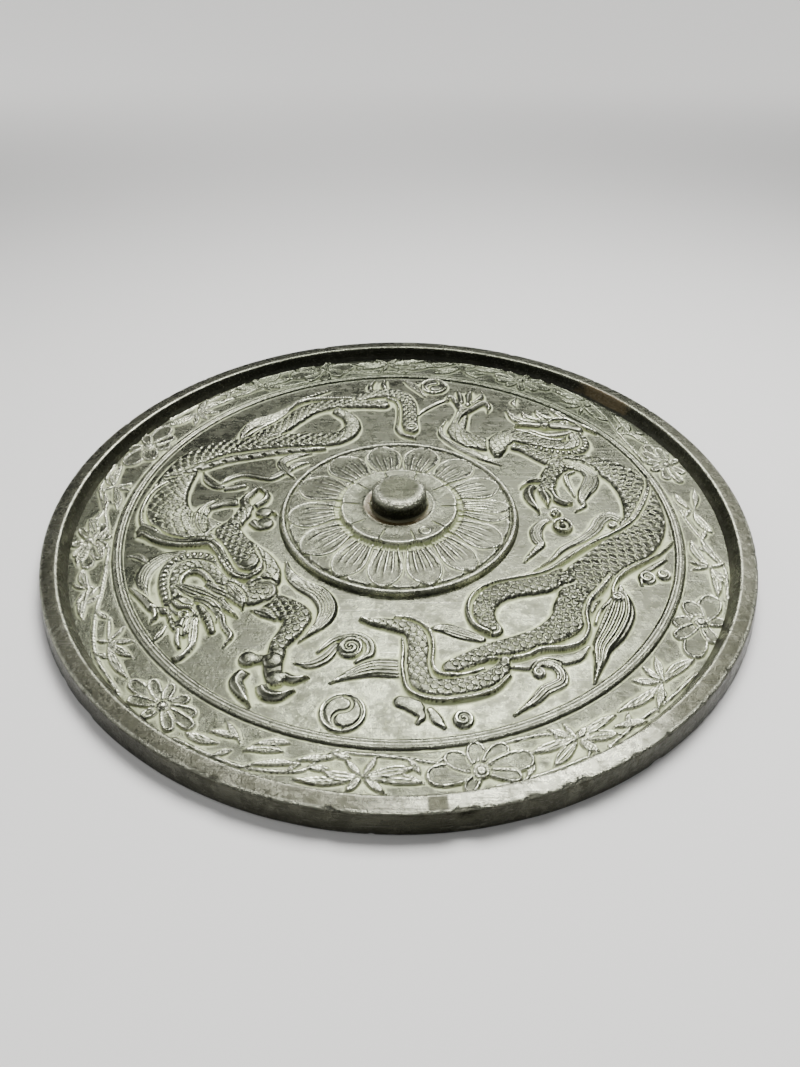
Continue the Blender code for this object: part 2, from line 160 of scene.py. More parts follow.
def turned(profile, steps):
    """Turn a (radius, height) profile round the middle: bearings, radii and heights."""
    profile = np.array(profile)
    radius, height = (np.repeat(profile[:, k:k + 1], steps + 1, axis=1) for k in (0, 1))
    return np.linspace(0, 2 * math.pi, steps + 1), radius, height


def node(tree, kind, **settings):
    """Add a shader node with its settings."""
    made = tree.nodes.new(kind)
    for key, value in settings.items():
        setattr(made, key, value)
    return made


def tarnish_group():
    """Colour, roughness and fine relief of old tarnished bronze, shared by all the finishes.

    Recess dusts what lies low, and Wear bares brighter metal where a piece is worn, which on the
    rim's near side is a painted highlight.  Aged darkens the far side with painted shade,
    and the scratches run both ways across as on metal wiped for centuries.
    """
    group = bpy.data.node_groups.new("old_bronze_tarnish", "ShaderNodeTree")
    for name, kind, value in (
            ("Metal", "Color", (0.060, 0.065, 0.043, 1)),
            ("Patina", "Color", (0.016, 0.017, 0.010, 1)),
            ("Dust", "Color", (0.46, 0.50, 0.285, 1)),
            ("Recess", "Float", 0.0), ("Wear_and_highlight", "Float", 0.0), ("Stain", "Float", 0.0),
            ("Dusting", "Float", 0.5), ("Wear", "Float", 0.5), ("Scratches", "Float", 0.5),
            ("Aged", "Float", 0.0)):
        entry = group.interface.new_socket(name=name, in_out="INPUT",
                                           socket_type="NodeSocket" + kind)
        entry.default_value = value
    for name, kind in (("Colour", "Color"), ("Roughness", "Float"), ("Metallic", "Float"),
                       ("Relief", "Float")):
        group.interface.new_socket(name=name, in_out="OUTPUT", socket_type="NodeSocket" + kind)
    given = node(group, "NodeGroupInput").outputs
    result = node(group, "NodeGroupOutput").inputs
    link = group.links.new
    where = node(group, "ShaderNodeTexCoord").outputs["Object"]

    def feed(entry, value):
        """Set an input, or link to it what gives its value."""
        if isinstance(value, (int, float, tuple)):
            entry.default_value = value
        else:
            link(value, entry)

    def noise(scale, detail, rough, stretch=None):
        """Blotches, drawn out into lines where stretch gives their turn and thinning."""
        made = node(group, "ShaderNodeTexNoise")
        made.inputs["Scale"].default_value = scale
        made.inputs["Detail"].default_value = detail
        made.inputs["Roughness"].default_value = rough
        if stretch:
            drawn = node(group, "ShaderNodeMapping")
            drawn.inputs["Rotation"].default_value = (0, 0, stretch[0])
            drawn.inputs["Scale"].default_value = (stretch[1], 1, 1)
            link(where, drawn.inputs["Vector"])
            link(drawn.outputs["Vector"], made.inputs["Vector"])
        else:
            link(where, made.inputs["Vector"])
        return made.outputs["Fac"]

    def spread(value, low, high, out_low=0.0, out_high=1.0):
        """A soft step between two levels."""
        made = node(group, "ShaderNodeMapRange", interpolation_type="SMOOTHSTEP")
        link(value, made.inputs["Value"])
        for key, number in (("From Min", low), ("From Max", high), ("To Min", out_low),
                            ("To Max", out_high)):
            made.inputs[key].default_value = number
        return made.outputs["Result"]

    def maths(kind, a, b, clamp=False):
        """One sum on two values."""
        made = node(group, "ShaderNodeMath", operation=kind, use_clamp=clamp)
        feed(made.inputs[0], a)
        feed(made.inputs[1], b)
        return made.outputs["Value"]

    def blend(share, first, second, kind="MIX"):
        """Lay a share of the second colour over the first."""
        made = node(group, "ShaderNodeMix", data_type="RGBA", blend_type=kind)
        for key, value in ((0, share), (6, first), (7, second)):
            feed(made.inputs[key], value)
        return made.outputs[2]

    broad = spread(noise(14, 4, 0.6), 0.36, 0.66)
    mottle = spread(noise(170, 7, 0.75), 0.40, 0.60)
    dents = noise(330, 4, 0.65)
    grain = noise(1000, 4, 0.7)
    scratch_a = spread(noise(1500, 2, 0.5, (0.5, 0.03)), 0.60, 0.72)
    scratch_b = spread(noise(1300, 2, 0.5, (1.9, 0.03)), 0.61, 0.72)
    scratch = maths("MULTIPLY", maths("MAXIMUM", scratch_a, scratch_b), given["Scratches"])
    colour = blend(broad, given["Metal"], given["Patina"])
    colour = blend(maths("MULTIPLY", mottle, 0.7), colour, given["Patina"])
    speck = spread(grain, 0.56, 0.72)
    colour = blend(maths("MULTIPLY", speck, 0.16), colour, given["Dust"])
    patchy = maths("ADD", maths("MULTIPLY", noise(110, 6, 0.72), 1.3), -0.65)
    low = spread(maths("ADD", given["Recess"], patchy), 0.12, 0.85)
    low = maths("MULTIPLY", low, given["Dusting"], True)
    colour = blend(low, colour, given["Dust"])
    # Bare metal on worn places, and on the rim's near side a painted highlight in the same colour
    wear_and_highlight_share = maths("MULTIPLY", given["Wear"], maths("ADD", 0.06, given["Wear_and_highlight"]))
    bare_metal_and_highlight = maths("MULTIPLY", wear_and_highlight_share, spread(noise(260, 5, 0.7), 0.20, 0.56), True)
    colour = blend(bare_metal_and_highlight, colour, BARE_METAL_AND_HIGHLIGHT)
    # Painted shade: the far side of the border and rim is multiplied darker with a grey tint
    side = node(group, "ShaderNodeVectorMath", operation="DOT_PRODUCT")
    feed(side.inputs[0], where)
    feed(side.inputs[1], PAINTED_SHADE_DIRECTION)
    painted_shade = maths("MULTIPLY", spread(side.outputs["Value"], 0.04, 0.11), given["Aged"])
    colour = blend(painted_shade, colour, PAINTED_SHADE_TINT, "MULTIPLY")
    colour = blend(maths("MULTIPLY", scratch, 0.18), colour, SCRATCHED_METAL)
    dirt = spread(maths("ADD", given["Stain"], patchy), 0.15, 0.6)
    colour = blend(maths("MULTIPLY", dirt, 0.8), colour, BROWN_DIRT)
    link(colour, result["Colour"])
    rough = maths("ADD", spread(mottle, 0.0, 1.0, 0.22, 0.38), maths("MULTIPLY", low, 0.35))
    rough = maths("SUBTRACT", rough, maths("MULTIPLY", bare_metal_and_highlight, 0.14), True)
    link(rough, result["Roughness"])
    covered = maths("MAXIMUM", maths("MULTIPLY", low, 0.9), maths("MULTIPLY", dirt, 0.8))
    metallic = maths("SUBTRACT", 0.95, covered, True)
    link(metallic, result["Metallic"])
    relief = maths("ADD", maths("MULTIPLY", dents, 0.28), maths("MULTIPLY", grain, 0.38))
    relief = maths("SUBTRACT", relief, maths("MULTIPLY", scratch, 0.12))
    link(relief, result["Relief"])
    return group


TARNISH = tarnish_group()


def bronze_finish(name, bump=0.0006, **strengths):
    """A bronze material: the shared tarnish with this piece's own strengths and colours."""
    finish = bpy.data.materials.new(name)
    finish.use_nodes = True
    tree = finish.node_tree
    link = tree.links.new
    shader = tree.nodes["Principled BSDF"]
    tarnish = node(tree, "ShaderNodeGroup", node_tree=TARNISH)
    for key, value in strengths.items():
        tarnish.inputs[key].default_value = value
    for mark in ("recess", "wear_and_highlight", "stain"):
        carried = node(tree, "ShaderNodeAttribute", attribute_name=mark)
        link(carried.outputs["Fac"], tarnish.inputs[mark.capitalize()])
    grain = node(tree, "ShaderNodeBump")
    grain.inputs["Distance"].default_value = bump
    for key, entry in (("Colour", shader.inputs["Base Color"]),
                       ("Roughness", shader.inputs["Roughness"]),
                       ("Metallic", shader.inputs["Metallic"]),
                       ("Relief", grain.inputs["Height"])):
        link(tarnish.outputs[key], entry)
    link(grain.outputs["Normal"], shader.inputs["Normal"])
    return finish


# The disc's profile from the hidden floor in the middle up over the rim and back underneath
plate_rows = [(0.0, HIDDEN_FLOOR), (60.0, HIDDEN_FLOOR), (BORDER_OUTER - 3.0, HIDDEN_FLOOR),
              (BORDER_OUTER, HIDDEN_FLOOR), (BORDER_OUTER, BORDER_GROUND),
              (BORDER_OUTER + 0.25, 2.9), (BORDER_OUTER + 0.8, 4.2), (BORDER_OUTER + 1.4, 5.6),
              (BORDER_OUTER + 1.9, 6.9), (BORDER_OUTER + 2.25, 7.8),
              (RIM_INNER, 8.22), (RIM_INNER + 0.35, 8.42), (RIM_INNER + 0.9, 8.48),
              (RIM_INNER + 2.0, 8.5), (RIM_INNER + 3.6, 8.5), (RIM_INNER + 4.8, 8.48),
              (RIM_RADIUS - 0.65, 8.44), (RIM_RADIUS - 0.3, 8.3), (RIM_RADIUS - 0.05, 8.0),
              (RIM_RADIUS + 0.1, 7.4), (RIM_RADIUS + 0.35, 6.0), (RIM_RADIUS + 0.75, 4.0),
              (RIM_RADIUS + 1.15, 2.0), (RIM_RADIUS + 1.38, 0.9), (RIM_RADIUS + 1.44, 0.5),
              (RIM_RADIUS + 1.32, 0.2), (RIM_RADIUS + 1.0, 0.04), (RIM_RADIUS, 0.0),
              (RIM_RADIUS * 0.8, 0.0), (RIM_RADIUS * 0.5, 0.0), (RIM_RADIUS * 0.2, 0.0),
              (0.0, 0.0)]
plate_rows = np.array(plate_rows[::-1])
plate_turn, plate_radius, plate_height = turned(plate_rows, PLATE_STEPS)
# The two corners of the lip are bitten: radius, which way is out, seed, bites, width, depth
for lip, side, seed, bites, width, depth in ((RIM_RADIUS - 0.2, 1, 3, 34, 1.1, 0.45),
                                            (RIM_INNER + 0.2, -1, 5, 30, 1.0, 0.25)):
    bite = nicks(plate_turn, seed, bites, width, depth)
    near_lip = np.clip(1 - np.abs(plate_rows[:, 0] - lip), 0, 1)[:, None]
    near_lip = near_lip * (plate_rows[:, 1] > 6.0)[:, None]
    if side > 0:
        for bearing, half_width, deep in CHIPS:
            away = np.abs(np.degrees(plate_turn) - bearing) * math.radians(RIM_RADIUS)
            bite = np.maximum(bite, deep * smooth(1.3 - away / half_width))
    plate_height -= near_lip * bite
    plate_radius -= near_lip * bite * 0.6 * side
# The outer foot is bitten too, and the edge is a little out of round
foot = np.exp(-((plate_rows[:, 1] - 0.4) / 0.5) ** 2) * (plate_rows[:, 0] > RIM_RADIUS)
plate_radius -= foot[:, None] * nicks(plate_turn, 7, 40, 1.6, 0.5)
plate_radius -= np.clip(0.06 * wander(plate_turn, 8, 3, 40), 0, 1) * (plate_radius > RIM_RADIUS)
# Dust lies along the foot of the inner wall
plate_recess = np.zeros_like(plate_radius)
plate_recess[(plate_rows[:, 1] > 2.5) & (plate_rows[:, 1] < 4.5)
             & (plate_rows[:, 0] < RIM_INNER)] = 0.5
# Both corners of the rim's top are worn, and the near side of the top gets a painted highlight
plate_wear_and_highlight = np.zeros_like(plate_radius)
top_rows = plate_rows[:, 1] > 8.1
plate_wear_and_highlight[top_rows & (np.abs(np.abs(plate_rows[:, 0] - RIM_MIDDLE) - 2.9) < 0.6)] = 1.0
plate_bearing = np.degrees(plate_turn)
painted_highlight_side = smooth((plate_bearing - HIGHLIGHT_BEARINGS[0]) / 14) * smooth((HIGHLIGHT_BEARINGS[1] - plate_bearing) / 14)
painted_highlight_side *= (plate_bearing < REPAIR[0]) | (plate_bearing > REPAIR[1])
plate_wear_and_highlight[top_rows] = np.maximum(plate_wear_and_highlight[top_rows], 0.85 * painted_highlight_side)
inner_wall = (plate_rows[:, 1] > 3) & (plate_rows[:, 0] < RIM_INNER + 0.6)
inner_wall &= plate_rows[:, 0] > 130
plate_stain = np.exp(-((plate_bearing - STAIN[0]) / STAIN[1]) ** 2) * inner_wall[:, None]
plate = cast_piece("plate_and_rim", plate_radius, plate_height, plate_turn, None,
                   {"recess": plate_recess, "wear_and_highlight": plate_wear_and_highlight, "stain": plate_stain}, True)
# The rim's finish: wear on its corners, a painted highlight on its near side and painted shade on its
# far side
plate.data.materials.append(bronze_finish(
    "rim_bronze_wear_and_painted_light", Dusting=0.5, Wear=0.38, Scratches=0.8, Aged=0.8,
    Metal=(0.060, 0.060, 0.044, 1), Patina=(0.018, 0.018, 0.011, 1), Dust=(0.05, 0.05, 0.03, 1)))


# The flower border and the plain band inside it: a low-relief wreath of blossoms, maple
# sprays and bamboo leaves on a wavy stem, cast from a carved mould.  The far half repeats
# the near half turned a little more than half round.
BORDER_ROWS = 50
BORDER_COLUMNS = 1800
FIELD_GROUND = 2.3
BAND_INNER = 110.6
BAND_OUTER = 115.6
BAND_RISE = 1.1
# Lines cut round the band: radius, depth and half width
BAND_LINES = ((112.5, 0.45, 0.35), (113.7, 0.35, 0.3))
SPRIG_RISE = 1.15
# How far round the near half's wreath comes again on the far half, in degrees
FAR_SPRIG_TURN = 187.5
# Radius and half width of the cord lines, which are rubbed clean of dust
CORD_RINGS = ((113.0, 2.8), (47.8, 2.4))
# How far outside its edge a form still cuts its groove, in mm
GROOVE_REACH = 0.9
# Small leaves along a stem: how many steps apart, how far they lean out, and how long
LEAF_EVERY = 3
LEAF_LEAN = 0.75
LEAF_LENGTH = 6.8


def curve(points, steps):
    """Smooth line through (x, y, width) points in mm, with steps from point to point."""
    pts = np.array(points, dtype=float)
    ends = np.vstack([2 * pts[0] - pts[1], pts, 2 * pts[-1] - pts[-2]])
    line = []
    for k in range(1, len(ends) - 2):
        a, b, c, d = ends[k - 1:k + 3]
        for t in np.linspace(0.0, 1.0, steps, endpoint=False):
            cubic = (3 * b - a - 3 * c + d) * t ** 3
            line.append(0.5 * (2 * b + (c - a) * t + (2 * a - 5 * b + 4 * c - d) * t * t + cubic))
    return np.array(line + [pts[-1]])


def along(line, x, y):
    """Points near a line: which they are, how far along, how far to its left, half width."""
    reach = 0.5 * line[:, 2].max() + GROOVE_REACH
    low = line[:, :2].min(axis=0) - reach
    high = line[:, :2].max(axis=0) + reach
    near = np.nonzero((x > low[0]) & (x < high[0]) & (y > low[1]) & (y < high[1]))[0]
    a, step = line[:-1], line[1:] - line[:-1]
    length = np.maximum(np.hypot(step[:, 0], step[:, 1]), 1e-6)
    start = np.concatenate([[0.0], np.cumsum(length)[:-1]])
    best = np.full(len(near), 1e9)
    run, side, half = np.zeros(len(near)), np.zeros(len(near)), np.ones(len(near))
    px, py = x[near], y[near]
    for k in range(len(a)):
        dx, dy = px - a[k, 0], py - a[k, 1]
        t = np.clip((dx * step[k, 0] + dy * step[k, 1]) / length[k] ** 2, 0.0, 1.0)
        away = np.hypot(dx - t * step[k, 0], dy - t * step[k, 1])
        closer = away < best
        best[closer] = away[closer]
        turn = step[k, 0] * dy - step[k, 1] * dx
        side[closer] = np.where(turn[closer] >= 0, away[closer], -away[closer])
        run[closer] = start[k] + t[closer] * length[k]
        half[closer] = np.maximum(0.5 * (a[k, 2] + t[closer] * step[k, 2]), 0.15)
    keep = best < half + GROOVE_REACH
    return near[keep], run[keep], side[keep], half[keep]


def lay(relief, x, y, line, rise, form, wall, under=0.0, moat=0.3, root=0.0):
    """Lay one carved form on the relief, with a cut groove round it.

    Wall is how far in from its edge the form climbs, and moat how much of what lies round
    it the groove takes.  Under is the share of what lies below that still lifts it, so a
    limb rides over a body.  Root is how far from its start the form takes to stand clear of
    what it grows from.
    """
    near, run, side, half = along(line, x, y)
    inside = half - np.abs(side)
    clear = smooth(run / root) if root else 1.0
    edge = smooth(inside / np.minimum(wall, 0.8 * half)) * clear
    shape = form(run, side, half, np.clip(side / half, -1, 1))
    below = relief[near] * (1 - moat * clear * smooth(1 + inside / 0.8))
    if moat == 0.0:
        relief[near] = np.maximum(relief[near], edge * rise * shape)
    else:
        relief[near] = (1 - edge) * below + edge * (under * relief[near] + rise * shape)


def leaf_form(run, side, half, u):
    """A low leaf with a raised outline and midrib."""
    outline = np.exp(-((half - np.abs(side) - 0.42) / 0.34) ** 2)
    return 0.42 + 0.50 * np.maximum(outline, 0.8 * np.exp(-(side / 0.3) ** 2))


def petal_form(run, side, half, u):
    """A petal dished inside a raised outline, with fine veins from its root."""
    veins = 0.30 * np.abs(np.cos(2.0 * math.pi * u)) ** 3 * smooth(1.8 - run / 3.4)
    return 0.48 + 0.52 * np.exp(-((half - np.abs(side) - 0.45) / 0.38) ** 2) + veins


def stem_form(run, side, half, u):
    """A round stem with a line cut along it."""
    return 0.9 - 0.35 * np.exp(-(side / 0.25) ** 2)


def bud_form(run, side, half, u):
    """A round flower centre with a sunk ring inside its edge."""
    ring = np.exp(-((np.abs(side) - 0.66 * half) / 0.35) ** 2)
    return 1.1 + 0.2 * (1 - u * u) - 0.5 * ring


def on_border(bearing, radius):
    """Place of a bearing and radius in x and y, in mm."""
    a = math.radians(bearing)
    return radius * math.cos(a), radius * math.sin(a)


def blade(root, tip, width, bulge):
    """A leaf between two (bearing, radius) places, bowed sideways by bulge mm."""
    x0, y0 = on_border(*root)
    x1, y1 = on_border(*tip)
    length = max(math.hypot(x1 - x0, y1 - y0), 0.1)
    nx, ny = -(y1 - y0) / length, (x1 - x0) / length
    points = []
    for t, w in ((0.0, 0.22), (0.25, 0.72), (0.55, 1.0), (0.82, 0.66), (1.0, 0.08)):
        bow = bulge * 4 * t * (1 - t)
        points.append((x0 + t * (x1 - x0) + bow * nx, y0 + t * (y1 - y0) + bow * ny, w * width))
    return curve(points, 5)


def blossom_petal(root, tip, width):
    """A broad petal with a round end."""
    x0, y0 = on_border(*root)
    x1, y1 = on_border(*tip)
    points = [(x0 + t * (x1 - x0), y0 + t * (y1 - y0), w * width)
              for t, w in ((0.0, 0.4), (0.4, 0.85), (0.72, 1.0), (0.86, 0.92))]
    return curve(points, 5)


# Blossoms as (bearing, radius, centre width, petals as (bearing, radius, width) of the tip)
BLOSSOMS = (
    (188.6, 124.1, 4.4, ((196.2, 124.0, 5.6), (194.0, 119.6, 5.0), (190.8, 117.4, 4.2),
                         (187.8, 116.6, 4.2), (184.2, 119.6, 4.8), (182.2, 124.6, 4.0),
                         (185.2, 129.0, 3.6), (189.4, 130.6, 3.4), (192.6, 129.2, 3.6),
                         (194.2, 127.6, 4.4))),
    (232.6, 124.6, 4.2, ((225.0, 125.6, 5.2), (227.4, 120.4, 4.6), (230.6, 117.2, 4.4),
                         (234.6, 117.6, 4.4), (237.8, 120.6, 4.6), (239.2, 125.0, 4.6),
                         (236.6, 129.6, 4.4), (231.8, 130.8, 4.2), (227.6, 130.0, 4.2))),
    (281.6, 125.0, 5.4, ((274.6, 124.6, 8.2), (277.6, 118.4, 7.0), (281.8, 116.4, 7.0),
                         (286.0, 118.2, 6.6), (289.0, 124.2, 7.6), (286.6, 129.6, 4.6),
                         (279.2, 130.4, 4.6))),
    (330.3, 124.3, 5.4, ((323.0, 126.6, 8.6), (327.4, 130.8, 5.0), (332.2, 130.8, 5.0),
                         (336.6, 125.8, 9.0), (333.6, 118.6, 7.6), (328.4, 117.0, 6.6),
                         (325.0, 119.0, 5.4))),
)
# Maple sprays as (bearing, radius) of the heart and (bearing, radius, width, bulge) of tips
MAPLES = (
    ((215.5, 123.6), ((210.0, 119.6, 1.8, 0.0), (214.2, 126.8, 2.0, 0.0),
                      (224.2, 125.4, 3.2, -1.4), (220.9, 119.8, 3.4, -0.5),
                      (217.8, 116.4, 2.6, 0.0), (213.6, 116.2, 2.2, 0.0))),
    ((265.2, 125.0), ((256.0, 129.0, 3.4, 1.0), (259.6, 124.6, 3.6, 0.8),
                      (263.2, 130.4, 2.8, 0.0), (268.4, 130.0, 2.8, 0.0),
                      (273.6, 126.6, 4.2, 0.6), (272.6, 121.6, 3.8, 0.4),
                      (262.4, 119.6, 2.6, 0.0), (267.0, 117.4, 2.6, 0.0))),
    ((296.7, 124.3), ((291.3, 129.6, 4.0, 0.0), (298.2, 131.0, 3.4, 0.0),
                      (302.6, 129.2, 4.2, 0.5), (304.6, 123.2, 3.4, 0.6),
                      (299.2, 121.4, 2.4, 0.0), (293.6, 117.0, 3.0, 0.0),
                      (289.4, 123.0, 3.6, -0.4), (296.4, 117.6, 2.2, 0.0))),
    ((314.7, 124.6), ((322.2, 128.2, 4.4, 1.2), (305.6, 122.6, 3.6, 1.0),
                      (318.8, 117.0, 3.2, 0.0), (315.2, 116.2, 2.8, 0.0),
                      (311.4, 117.0, 3.0, 0.0), (310.2, 129.8, 2.8, 0.0))),
    ((344.8, 123.8), ((337.6, 127.4, 3.6, 1.2), (351.8, 117.6, 4.0, 1.0),
                      (343.2, 117.0, 2.0, 0.0), (345.4, 116.2, 2.0, 0.0),
                      (346.6, 129.8, 2.2, 0.0), (341.0, 129.6, 2.4, 0.0))),
)
# Single leaves as root, tip, width, bulge
BLADES = (
    ((201.8, 123.8), (196.0, 125.6), 3.8, 1.0), ((201.8, 123.8), (208.4, 128.4), 3.4, -1.4),
    ((202.2, 125.4), (204.8, 129.4), 2.0, 0.0), ((201.4, 125.2), (199.4, 129.4), 2.0, 0.4),
    ((243.8, 125.6), (238.6, 127.6), 3.4, 0.6), ((241.4, 123.6), (246.0, 121.6), 2.6, 0.6),
    ((246.6, 122.4), (242.6, 117.8), 2.4, 0.0), ((247.8, 124.6), (253.2, 121.0), 3.8, 1.2),
    ((248.6, 121.6), (253.8, 117.4), 3.0, 0.6), ((249.0, 129.6), (256.6, 123.6), 2.6, 1.0),
    ((255.4, 122.8), (261.0, 119.4), 2.6, 0.4), ((302.6, 126.2), (307.4, 131.0), 3.0, 0.4),
    ((305.2, 122.6), (311.8, 126.6), 3.4, 0.9), ((309.8, 130.6), (313.6, 125.6), 2.0, 0.4),
    ((346.0, 127.6), (352.6, 121.6), 2.4, 0.6), ((360.6, 122.4), (354.4, 127.4), 4.2, -0.8),
    ((362.0, 124.0), (367.6, 128.0), 3.0, -0.6), ((361.4, 121.6), (366.6, 118.6), 3.0, 0.6),
)
# Stems as (bearing, radius) points
STEMS = (
    ((191.0, 116.4), (202.3, 119.4), (208.7, 124.2), (216.6, 129.2), (226.0, 131.0)),
    ((202.0, 119.6), (201.9, 121.6), (201.8, 123.8)),
    ((238.0, 131.0), (248.0, 130.0), (256.0, 126.4), (258.6, 121.0), (261.0, 116.6)),
    ((262.0, 117.0), (270.0, 117.6), (277.0, 121.0)),
    ((283.0, 130.8), (290.0, 130.6), (298.0, 131.0)), ((286.0, 116.8), (293.0, 118.4), (296.8, 124.0)),
    ((300.0, 130.8), (307.0, 129.0), (313.0, 129.8), (320.0, 131.0)),
    ((338.0, 131.0), (345.0, 129.6), (350.0, 124.8), (356.0, 119.4), (361.0, 117.6)),
)


def border_relief(x, y):
    """Height of the wreath over the border's ground, in mm."""
    relief = np.zeros_like(x)
    for turn in (0.0, FAR_SPRIG_TURN):
        for points in STEMS:
            line = curve([on_border(b + turn, r) + (1.5,) for b, r in points], 5)
            lay(relief, x, y, line, 0.7 * SPRIG_RISE, stem_form, moat=0.0, wall=0.5)
            for k in range(3, len(line) - 1, LEAF_EVERY):
                grow = line[k + 1, :2] - line[k, :2]
                lean = math.atan2(grow[1], grow[0]) + (LEAF_LEAN if k % 2 else -LEAF_LEAN)
                tip = line[k, :2] + LEAF_LENGTH * np.array([math.cos(lean), math.sin(lean)])
                if BAND_OUTER < math.hypot(*tip) < BORDER_OUTER:
                    small = curve([(*line[k, :2], 0.6), (*(0.45 * line[k, :2] + 0.55 * tip), 2.6),
                                   (*tip, 0.3)], 5)
                    lay(relief, x, y, small, 0.8 * SPRIG_RISE, leaf_form, wall=0.45)
        for root, tip, width, bulge in BLADES:
            line = blade((root[0] + turn, root[1]), (tip[0] + turn, tip[1]), width, bulge)
            lay(relief, x, y, line, 0.9 * SPRIG_RISE, leaf_form, wall=0.45)
        for heart, tips in MAPLES:
            for bearing, radius, width, bulge in tips:
                line = blade((heart[0] + turn, heart[1]), (bearing + turn, radius), width, bulge)
                lay(relief, x, y, line, SPRIG_RISE, leaf_form, wall=0.45)
        for bearing, radius, centre, petals in BLOSSOMS:
            for tip_bearing, tip_radius, width in petals:
                line = blossom_petal((bearing + turn, radius), (tip_bearing + turn, tip_radius),
                                     width)
                lay(relief, x, y, line, SPRIG_RISE, petal_form, wall=0.45)
            cx, cy = on_border(bearing + turn, radius)
            dot = np.array([(cx - 0.05, cy, centre), (cx + 0.05, cy, centre)])
            lay(relief, x, y, dot, SPRIG_RISE, bud_form, moat=0.6, wall=0.5)
    return relief


def turned_ground(radius):
    """Height of the plain turned ground of border, band, field and ring, in mm."""
    ground = FIELD_GROUND + 0.3 * smooth((radius - 114.2) / 0.8)
    band = smooth((radius - 110.9) / 1.1) * smooth((115.1 - radius) / 1.1)
    lines = sum(deep * np.exp(-((radius - at) / wide) ** 2) for at, deep, wide in BAND_LINES)
    moat = 0.3 * np.exp(-((radius - 115.3) / 0.5) ** 2)
    return ground + BAND_RISE * band - lines * band - moat


def soften(height, passes):
    """Blur a height grid by neighbours, round the mirror and across the rings."""
    for _ in range(passes):
        height = (height + np.roll(height, 1, axis=1) + np.roll(height, -1, axis=1)) / 3
        padded = np.vstack([height[:1], height, height[-1:]])
        height = (padded[:-2] + padded[1:-1] + padded[2:]) / 3
    return height


def hollows(height, passes, depth):
    """How far each point lies below what is round it, close by and further off, 0 to 1."""
    close = smooth((soften(height, passes) - height) / depth)
    further = smooth((soften(height, 9 * passes) - height) / (2 * depth))
    return np.clip(0.7 * close + 0.7 * further, 0, 1)


def no_stain(radius, angle):
    """A clean ring."""
    return np.zeros_like(radius)


def carved_ring(name, radii, columns, relief_of, passes, depth, sectors, finish,
                stain_of=no_stain):
    """Carve a ring of the casting and cut it in sectors, each a piece of its own.

    Passes and depth say how far off and how deep a hollow is that holds dust.
    """
    angle = np.arange(columns) * 2 * math.pi / columns
    radius = np.repeat(np.array(radii)[:, None], columns, axis=1)
    x = (radius * np.cos(angle)).reshape(-1)
    y = (radius * np.sin(angle)).reshape(-1)
    relief = relief_of(x, y).reshape(radius.shape)
    height = turned_ground(radius) + relief
    normal = facing(radius, height, angle)
    cord = sum(np.exp(-((radius - at) / wide) ** 4) for at, wide in CORD_RINGS)
    recess = hollows(height, passes, depth) * (1 - 0.85 * cord)
    wear_and_highlight = smooth((height - soften(height, passes)) / depth - 0.1) * (1 - 0.5 * cord)
    stain = stain_of(radius, angle)
    size = columns // sectors
    for k in range(sectors):
        pick = np.arange(k * size, (k + 1) * size + 1) % columns
        turn = (k * size + np.arange(size + 1)) * 2 * math.pi / columns
        low = np.full((1, size + 1), HIDDEN_FLOOR)
        down = np.zeros((1, size + 1, 3))
        down[..., 2] = -1
        z = np.vstack([low, height[:, pick], low, low])
        n = np.concatenate([down, normal[:, pick], down, down])
        r, d, w, b = (np.vstack([grid[:1, pick], grid[:, pick], grid[-1:, pick], grid[:1, pick]])
                      for grid in (radius, recess, wear_and_highlight, stain))
        label = name if sectors == 1 else f"{name}_{k + 1}"
        piece = cast_piece(label, r, z, turn, n, {"recess": d, "wear_and_highlight": w, "stain": b},
                           sectors == 1)
        piece.data.materials.append(finish)


# The border's far side is darkened with painted shade
border_finish = bronze_finish("border_bronze", Dusting=0.6, Wear=0.9, Scratches=0.6, Aged=1.2)
carved_ring("flower_border", np.linspace(BORDER_OUTER, BAND_INNER, BORDER_ROWS + 1),
            BORDER_COLUMNS, border_relief, passes=3, depth=0.22, sectors=1,
            finish=border_finish)


# The field between the two rings: a pair of dragons with scaled bodies, manes and clawed
# feet circling the lotus, with flaming pearls and clouds between them, cast from a carved
# mould.  The two are much alike, but each was carved on its own.
FIELD_INNER = 49.6
FIELD_ROWS = 160
FIELD_COLUMNS = 1536
FIELD_SECTORS = 4
DRAGON_RISE = 2.1
# How thick a limb still is at its edge, of its full rise
LIMB_EDGE = 0.40
# A form that keeps this share of what lies under it rises gently from its root
RIDING = 0.2


def dome(u):
    """Rounded section of a limb."""
    return LIMB_EDGE + (1 - LIMB_EDGE) * np.sqrt(np.clip(1 - u * u, 0, 1))


def plain(run, side, half, u):
    """A smooth limb."""
    return dome(u)


def scales(pitch, width):
    """A body covered with round scales that overlap like tiles and point along it."""
    def form(run, side, half, u):
        lift = np.zeros_like(run)
        covered = np.zeros(len(run), bool)
        row = np.floor(run / pitch)
        for back in (1, 0):
            ahead = run - (row - back) * pitch
            shifted = side / width - 0.5 * ((row - back) % 2)
            aside = (shifted - np.round(shifted)) * width
            reach = np.hypot(ahead / (1.4 * pitch), aside / (0.57 * width))
            here = (reach < 1) & ~covered
            value = (0.35 + 0.65 * ahead / (1.4 * pitch)) * smooth((1 - reach) / 0.16)
            lift[here] = value[here]
            covered |= here
        return dome(u) * (0.72 + 0.34 * lift)
    return form


limb_scales = scales(2.3, 3.2)


def strands(count):
    """A lock, tuft or mane of hair lines that follow it."""
    def form(run, side, half, u):
        return dome(u) * (0.60 + 0.40 * np.abs(np.sin(0.5 * math.pi * count * (u + 1))))
    return form


def ribboned(run, side, half, u):
    """A smooth band with a fine line cut a little off its middle."""
    return 0.80 + 0.22 * np.sqrt(1 - u * u) - 0.22 * np.exp(-((side + 0.25 * half) / 0.3) ** 2)


